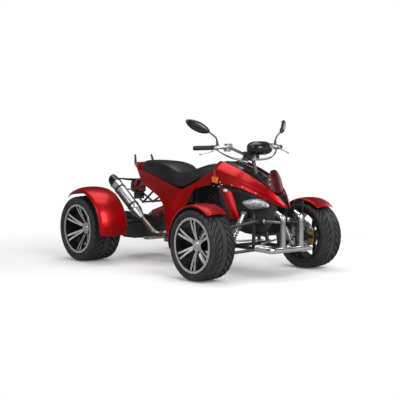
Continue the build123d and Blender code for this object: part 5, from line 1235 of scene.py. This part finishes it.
MIRROR_INNER, MIRROR_OUTER = spot(0.8475, -0.2625, 1.022), spot(1.1925, -0.2105, 1.105)
MIRROR_POINTS = 28
MIRROR_HALF, MIRROR_BELLY = 0.0335, 1.22   # half its height, and how much deeper it is below


def mirror(name, side):
    """A leaf-shaped shell with its glass towards the rider, on a bent stalk with a rubber foot."""
    inner, outer = MIRROR_INNER, MIRROR_OUTER
    run = (outer - inner).normalized()
    away = run.cross(UPWARDS).normalized()
    rise = away.cross(run)
    outline = []
    for number in range(MIRROR_POINTS):
        turn = 2 * pi * number / MIRROR_POINTS
        height = MIRROR_HALF * abs(sin(turn)) ** 1.15 * (1.0 if sin(turn) > 0 else -MIRROR_BELLY)
        outline.append(inner + run * ((outer - inner).length * (0.5 - 0.5 * cos(turn))) + rise * height)
    middle = inner.lerp(outer, 0.5)
    shell = closed_skin([[middle + (point - middle) * scale + away * depth for point in outline]
                         for depth, scale in ((0.0, 1.0), (0.006, 1.0), (0.016, 0.94), (0.024, 0.76), (0.030, 0.42))])
    piece("mirror_shell_" + name, flipped(shell, side), [GLOSS], "mirrors", "steering", sharp=50,
          modifiers=softened(1))
    glass = bmesh.new()
    plate = glass.faces.new([glass.verts.new(middle + (point - middle) * 0.90 - away * 0.0012) for point in outline])
    made = bmesh.ops.extrude_face_region(glass, geom=[plate])["geom"]
    bmesh.ops.translate(glass, vec=away * 0.003, verts=[item for item in made if isinstance(item, bmesh.types.BMVert)])
    bmesh.ops.recalc_face_normals(glass, faces=glass.faces)
    piece("mirror_glass_" + name, flipped(glass, side), [MIRROR_GLASS], body="steering", sharp=30)
    foot, knee = spot(0.700, -0.2685, 0.925), spot(0.7225, -0.2685, 0.978)
    stalk = hose([foot, foot.lerp(knee, 0.6), knee, knee.lerp(inner, 0.6), inner + run * 0.034 + away * 0.014],
                 0.0055, ring=5)
    boot = turned([(0.0065, 0.034), (0.0078, 0.030), (0.0090, 0.012), (0.0115, 0.004), (0.0120, -0.002),
                   (0.0060, -0.003), (0.0060, 0.034)], 24, foot + Vector((0, 0, 0.004)), knee - foot)
    nut = turned([(0.0, 0.014), (0.009, 0.013), (0.0125, 0.006), (0.0125, -0.006), (0.009, -0.010), (0.0, -0.010)],
                 20, inner + run * 0.030 + away * 0.014, run)
    piece("mirror_stalk_" + name, flipped(joined(stalk, boot, nut), side), [MOULDED], body="steering", sharp=40)


CABLE_SHARES = (   # across, along, up
    (0.720, -0.269, 0.895), (0.600, -0.290, 0.850), (0.320, -0.302, 0.815), (0.030, -0.3035, 0.820),
)


def held_cables():
    """Brake hoses and control cables, held at both ends and curving in front of the bar."""
    shape = bmesh.new()
    for side in (1, -1):
        points = [spot(side * x, y, z) for x, y, z in CABLE_SHARES]
        joined(shape, hose(points, 0.0035, ring=3))
        second = [point + Vector((side * 0.010, -0.004, 0.004 + 0.004 * number))
                  for number, point in enumerate(points[:3])]
        joined(shape, hose(second + [points[3] + Vector((side * 0.012, 0, 0.006))], 0.0026, ring=3))
    piece("control_lines", shape, [RUBBER], "control_cables", "steering", sharp=40)


handlebar()
grips()
controls()
instrument_pod()
for name, side in SIDES:
    mirror(name, side)
held_cables()


# Exhaust
MUFFLER_FRONT, MUFFLER_REAR = mm(-260, 400, 345), mm(-260, 760, 600)
MUFFLER_RUN = (MUFFLER_REAR - MUFFLER_FRONT).normalized()
MUFFLER_UP = MUFFLER_RUN.cross(SIDEWAYS)
MUFFLER_LENGTH = (MUFFLER_REAR - MUFFLER_FRONT).length
MUFFLER_TURN = Matrix((SIDEWAYS, MUFFLER_UP, MUFFLER_RUN)).transposed().to_4x4()
RIVETS = 10
REAR_BAND = MUFFLER_LENGTH - 0.075
EAR_REACH = 0.052
CAP_SLANT, CAP_CUT = radians(-24), Vector((0, 0, 0.064))


def muffler():
    length = MUFFLER_LENGTH
    can = turned([
        (0.0, 0.0), (0.0215, 0.0), (0.0225, 0.004), (0.0230, 0.012), (0.0330, 0.050), (0.0425, 0.088),
        (0.0442, 0.093), (0.0450, 0.097), (0.0450, 0.103), (0.0438, 0.105), (0.0438, 0.108), (0.0446, 0.110),
        (0.0446, length - 0.020), (0.0450, length - 0.018), (0.0450, length - 0.002), (0.0440, length),
        (0.0, length)], 64, MUFFLER_FRONT, MUFFLER_RUN)
    piece("muffler_can", can, [STEEL], "muffler", sharp=35)
    trim = bmesh.new()
    for along in (0.150, REAR_BAND):
        centre = MUFFLER_FRONT + MUFFLER_RUN * along
        ear = centre + SIDEWAYS * EAR_REACH
        joined(trim, turned([(0.0448, -0.011), (0.0466, -0.011), (0.0472, -0.009), (0.0472, 0.009), (0.0466, 0.011),
                             (0.0448, 0.011)], 56, centre, MUFFLER_RUN),
               rounded_box(0.022, 0.012, 0.020, 0.002, ear, MUFFLER_RUN),
               bolt(ear - MUFFLER_UP * 0.006, -MUFFLER_UP, 0.004, 0.003))
    joined(trim, hose([MUFFLER_FRONT + MUFFLER_RUN * REAR_BAND + SIDEWAYS * 0.060, mm(-150, 640, 560),
                       mm(-100, 600, 600)], 0.006, 0.03))
    piece("muffler_bands", trim, [FRAME_PAINT], sharp=35)
    rivets = bmesh.new()
    for number in range(RIVETS):
        turn = 2 * pi * number / RIVETS
        way = SIDEWAYS * cos(turn) + MUFFLER_UP * sin(turn)
        joined(rivets, turned([(0.0, 0.0016), (0.0018, 0.0012), (0.0026, 0.0), (0.0, -0.001)], 10,
                              MUFFLER_FRONT + MUFFLER_RUN * (length - 0.010) + way * 0.0450, way))
    piece("muffler_rivets", rivets, [CHROME], sharp=40)


def muffler_tip():
    """The dark end cap, cut off at a slant, with its outlet pipe inside."""
    cap = turned([
        (0.0440, 0.0), (0.0478, 0.001), (0.0480, 0.006), (0.0462, 0.020), (0.0425, 0.050), (0.0362, 0.086),
        (0.0330, 0.086), (0.0350, 0.050), (0.0345, 0.030), (0.0180, 0.026), (0.0175, 0.020), (0.0, 0.020)], 64)
    slope = Matrix.Rotation(CAP_SLANT, 3, "X")
    cut = bmesh.ops.bisect_plane(cap, geom=cap.verts[:] + cap.edges[:] + cap.faces[:], dist=0.00001,
                                 plane_co=CAP_CUT, plane_no=slope @ UPWARDS, clear_outer=True)
    bmesh.ops.bridge_loops(cap, edges=[item for item in cut["geom_cut"] if isinstance(item, bmesh.types.BMEdge)])
    outlet = turned([(0.0130, 0.018), (0.0165, 0.018), (0.0170, 0.046), (0.0160, 0.048), (0.0148, 0.046),
                     (0.0140, 0.020)], 36)
    for shape in (tidy(cap), outlet):
        bmesh.ops.transform(shape, matrix=Matrix.Translation(MUFFLER_REAR) @ MUFFLER_TURN, verts=shape.verts)
    piece("muffler_cap", cap, [GLOSS], "muffler_tip", sharp=35)
    piece("muffler_outlet", outlet, [STEEL], sharp=35)


muffler()
muffler_tip()


# Springs and dampers
COIL_STEPS = 26   # to each turn


def coil(radius, wire, start, length, turns):
    """A round spring wire wound along Z, its ends closed up."""
    shape = bmesh.new()
    bmesh.ops.create_circle(shape, segments=10, radius=wire)
    moved(spun(shape, pi / 2, "X"), (radius, 0, start))
    bmesh.ops.spin(shape, geom=shape.verts[:] + shape.edges[:], cent=(0, 0, 0), axis=(0, 0, 1),
                   dvec=(0, 0, length / (turns * COIL_STEPS)), angle=2 * pi * turns, steps=turns * COIL_STEPS,
                   use_merge=False)
    bmesh.ops.holes_fill(shape, edges=[edge for edge in shape.edges if edge.is_boundary], sides=0)
    bmesh.ops.recalc_face_normals(shape, faces=shape.faces)
    return shape


def shock(name, stands_for, foot, top, radius, wire, body_radius, turns, finish):
    length = (top - foot).length
    start, run = length * 0.17, length * 0.60
    spring = coil(radius - wire, wire, start + wire, run - 2 * wire, turns)
    piece(name + "_spring", place(spring, foot, top - foot), [finish], sharp=50)
    inner, head = body_radius * 0.92, start + run
    damper = turned([
        (0.0, 0.004), (0.0075, 0.004), (0.0080, start - 0.006), (radius * 0.96, start - 0.005),
        (radius * 0.98, start - 0.001), (0.012, start), (0.012, start + run * 0.30), (inner, start + run * 0.30),
        (inner, head - 0.001), (radius * 0.96, head + 0.001), (radius * 0.98, head + 0.006),
        (body_radius + 0.002, head + 0.008), (body_radius + 0.002, head + 0.024), (body_radius, head + 0.026),
        (body_radius, length - 0.004), (0.0, length)], 32, foot, top - foot)
    edge = body_radius - 0.002
    for point in (foot, top):
        joined(damper, turned([
            (0.005, -body_radius), (body_radius * 0.98, -body_radius), (body_radius, -edge), (body_radius, edge),
            (body_radius * 0.98, body_radius), (0.005, body_radius), (0.005, -body_radius)], 28, point, (0, 1, 0)),
            hose([point - Vector((0, body_radius + 0.006, 0)), point + Vector((0, body_radius + 0.006, 0))],
                 0.0049, ring=3))
    piece(name + "_damper", damper, [CAST], stands_for, sharp=35)


def front_shock_foot(side):
    """The lower bolt of a front shock, between the two tubes of the lower arm."""
    front, rear = (mm(150, along, 200).lerp(mm(400, -659, 164), 0.656) for along in (-806, -560))
    point = front.lerp(rear, 0.235) + Vector((0, 0, 0.0273))
    return Vector((side * point.x, point.y, point.z))


for name, side in SIDES:
    shock("front_shock_" + name, "front_shocks", front_shock_foot(side), spot(side * 0.375, -0.336, 0.445),
          0.026, 0.0040, 0.016, 9, CHROME)
shock("rear_shock", "rear_shock", spot(-0.150, 0.275, 0.350), spot(-0.150, 0.137, 0.440),
      0.034, 0.0055, 0.020, 7, RED_SPRING)


# Engine side covers with their screws
SCREWS = 8
COVER_X, COVER_Y, COVER_Z, SCREW_RING = 138, -40, 262.3, 71   # millimetres


def engine_trim():
    for name, side in SIDES:
        cover = turned([
            (0.0, 0.0072), (0.014, 0.0070), (0.020, 0.0045), (0.026, 0.0040), (0.030, 0.0060), (0.052, 0.0062),
            (0.060, 0.0040), (0.064, 0.0010), (0.076, 0.0008), (0.082, -0.0010), (0.082, -0.0040), (0.0, -0.0040)],
            56, mm(COVER_X, COVER_Y, COVER_Z), SIDEWAYS)
        piece("engine_cover_" + name, flipped(cover, side), [CAST], sharp=30)
        screws = bmesh.new()
        for number in range(SCREWS):
            turn = 2 * pi * (number + 0.5) / SCREWS
            place_of_screw = mm(COVER_X + 0.6, COVER_Y + SCREW_RING * cos(turn), COVER_Z + SCREW_RING * sin(turn))
            joined(screws, bolt(place_of_screw, SIDEWAYS, 0.0042, 0.0035))
        piece("engine_screws_" + name, flipped(screws, side), [CHROME])


# Tail lamp with its dark base
TAIL_FACE_Y, TAIL_DEPTH, TAIL_TAPER = 809, 0.062, 0.18


def tail_lamp():
    lamp = rounded_box(0.116, TAIL_DEPTH, 0.098, 0.028, mm(0, 840, 570), segments=6)
    for vert in lamp.verts:
        share = (vert.co.y - mm(0, TAIL_FACE_Y, 0).y) / TAIL_DEPTH
        vert.co.x *= 1 - TAIL_TAPER * max(0.0, share - 0.3)
    piece("tail_lens", lamp, [RED_LENS], "tail_lamp", sharp=50)
    piece("tail_lamp_back", rounded_box(0.108, 0.034, 0.104, 0.015, mm(0, 790, 574), segments=5), [RED_LENS], sharp=50)
    piece("tail_lamp_base", rounded_box(0.112, 0.012, 0.094, 0.0058, mm(0, 813, 570)), [MOULDED], sharp=40)


engine_trim()
tail_lamp()


# Finishes on the solids themselves
PAINTED = (
    (FRAME_PAINT, "frame swingarm front_arms plate_bracket steering_column knuckle_left knuckle_right"),
    (ENGINE_PAINT, "engine"), (PIPE, "header_pipe"), (AMBER, "front_indicators"), (CLEAR, "headlamps"),
    (CHROME, "rear_shock front_shocks bumper handlebar"), (SMOKED, "flyscreen"), (VINYL, "seat"),
    (RED, "front_panels rear_panels tail_cover lower_panels rear_fenders front_fender_left front_fender_right"),
    (GLOSS, "centre_panel muffler_tip mirrors"), (MOULDED, "grab_rails instrument_pod"), (STEEL, "muffler"),
    (RED_LENS, "tail_lamp"), (CAST, "footrests controls"), (RUBBER, "grips control_cables"),
    (MACHINED, "axle_shaft tie_rod_left tie_rod_right"),
)
for finish, solids in PAINTED:
    for solid in solids.split():
        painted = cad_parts[solid].data.materials
        painted.clear()
        painted.append(finish)
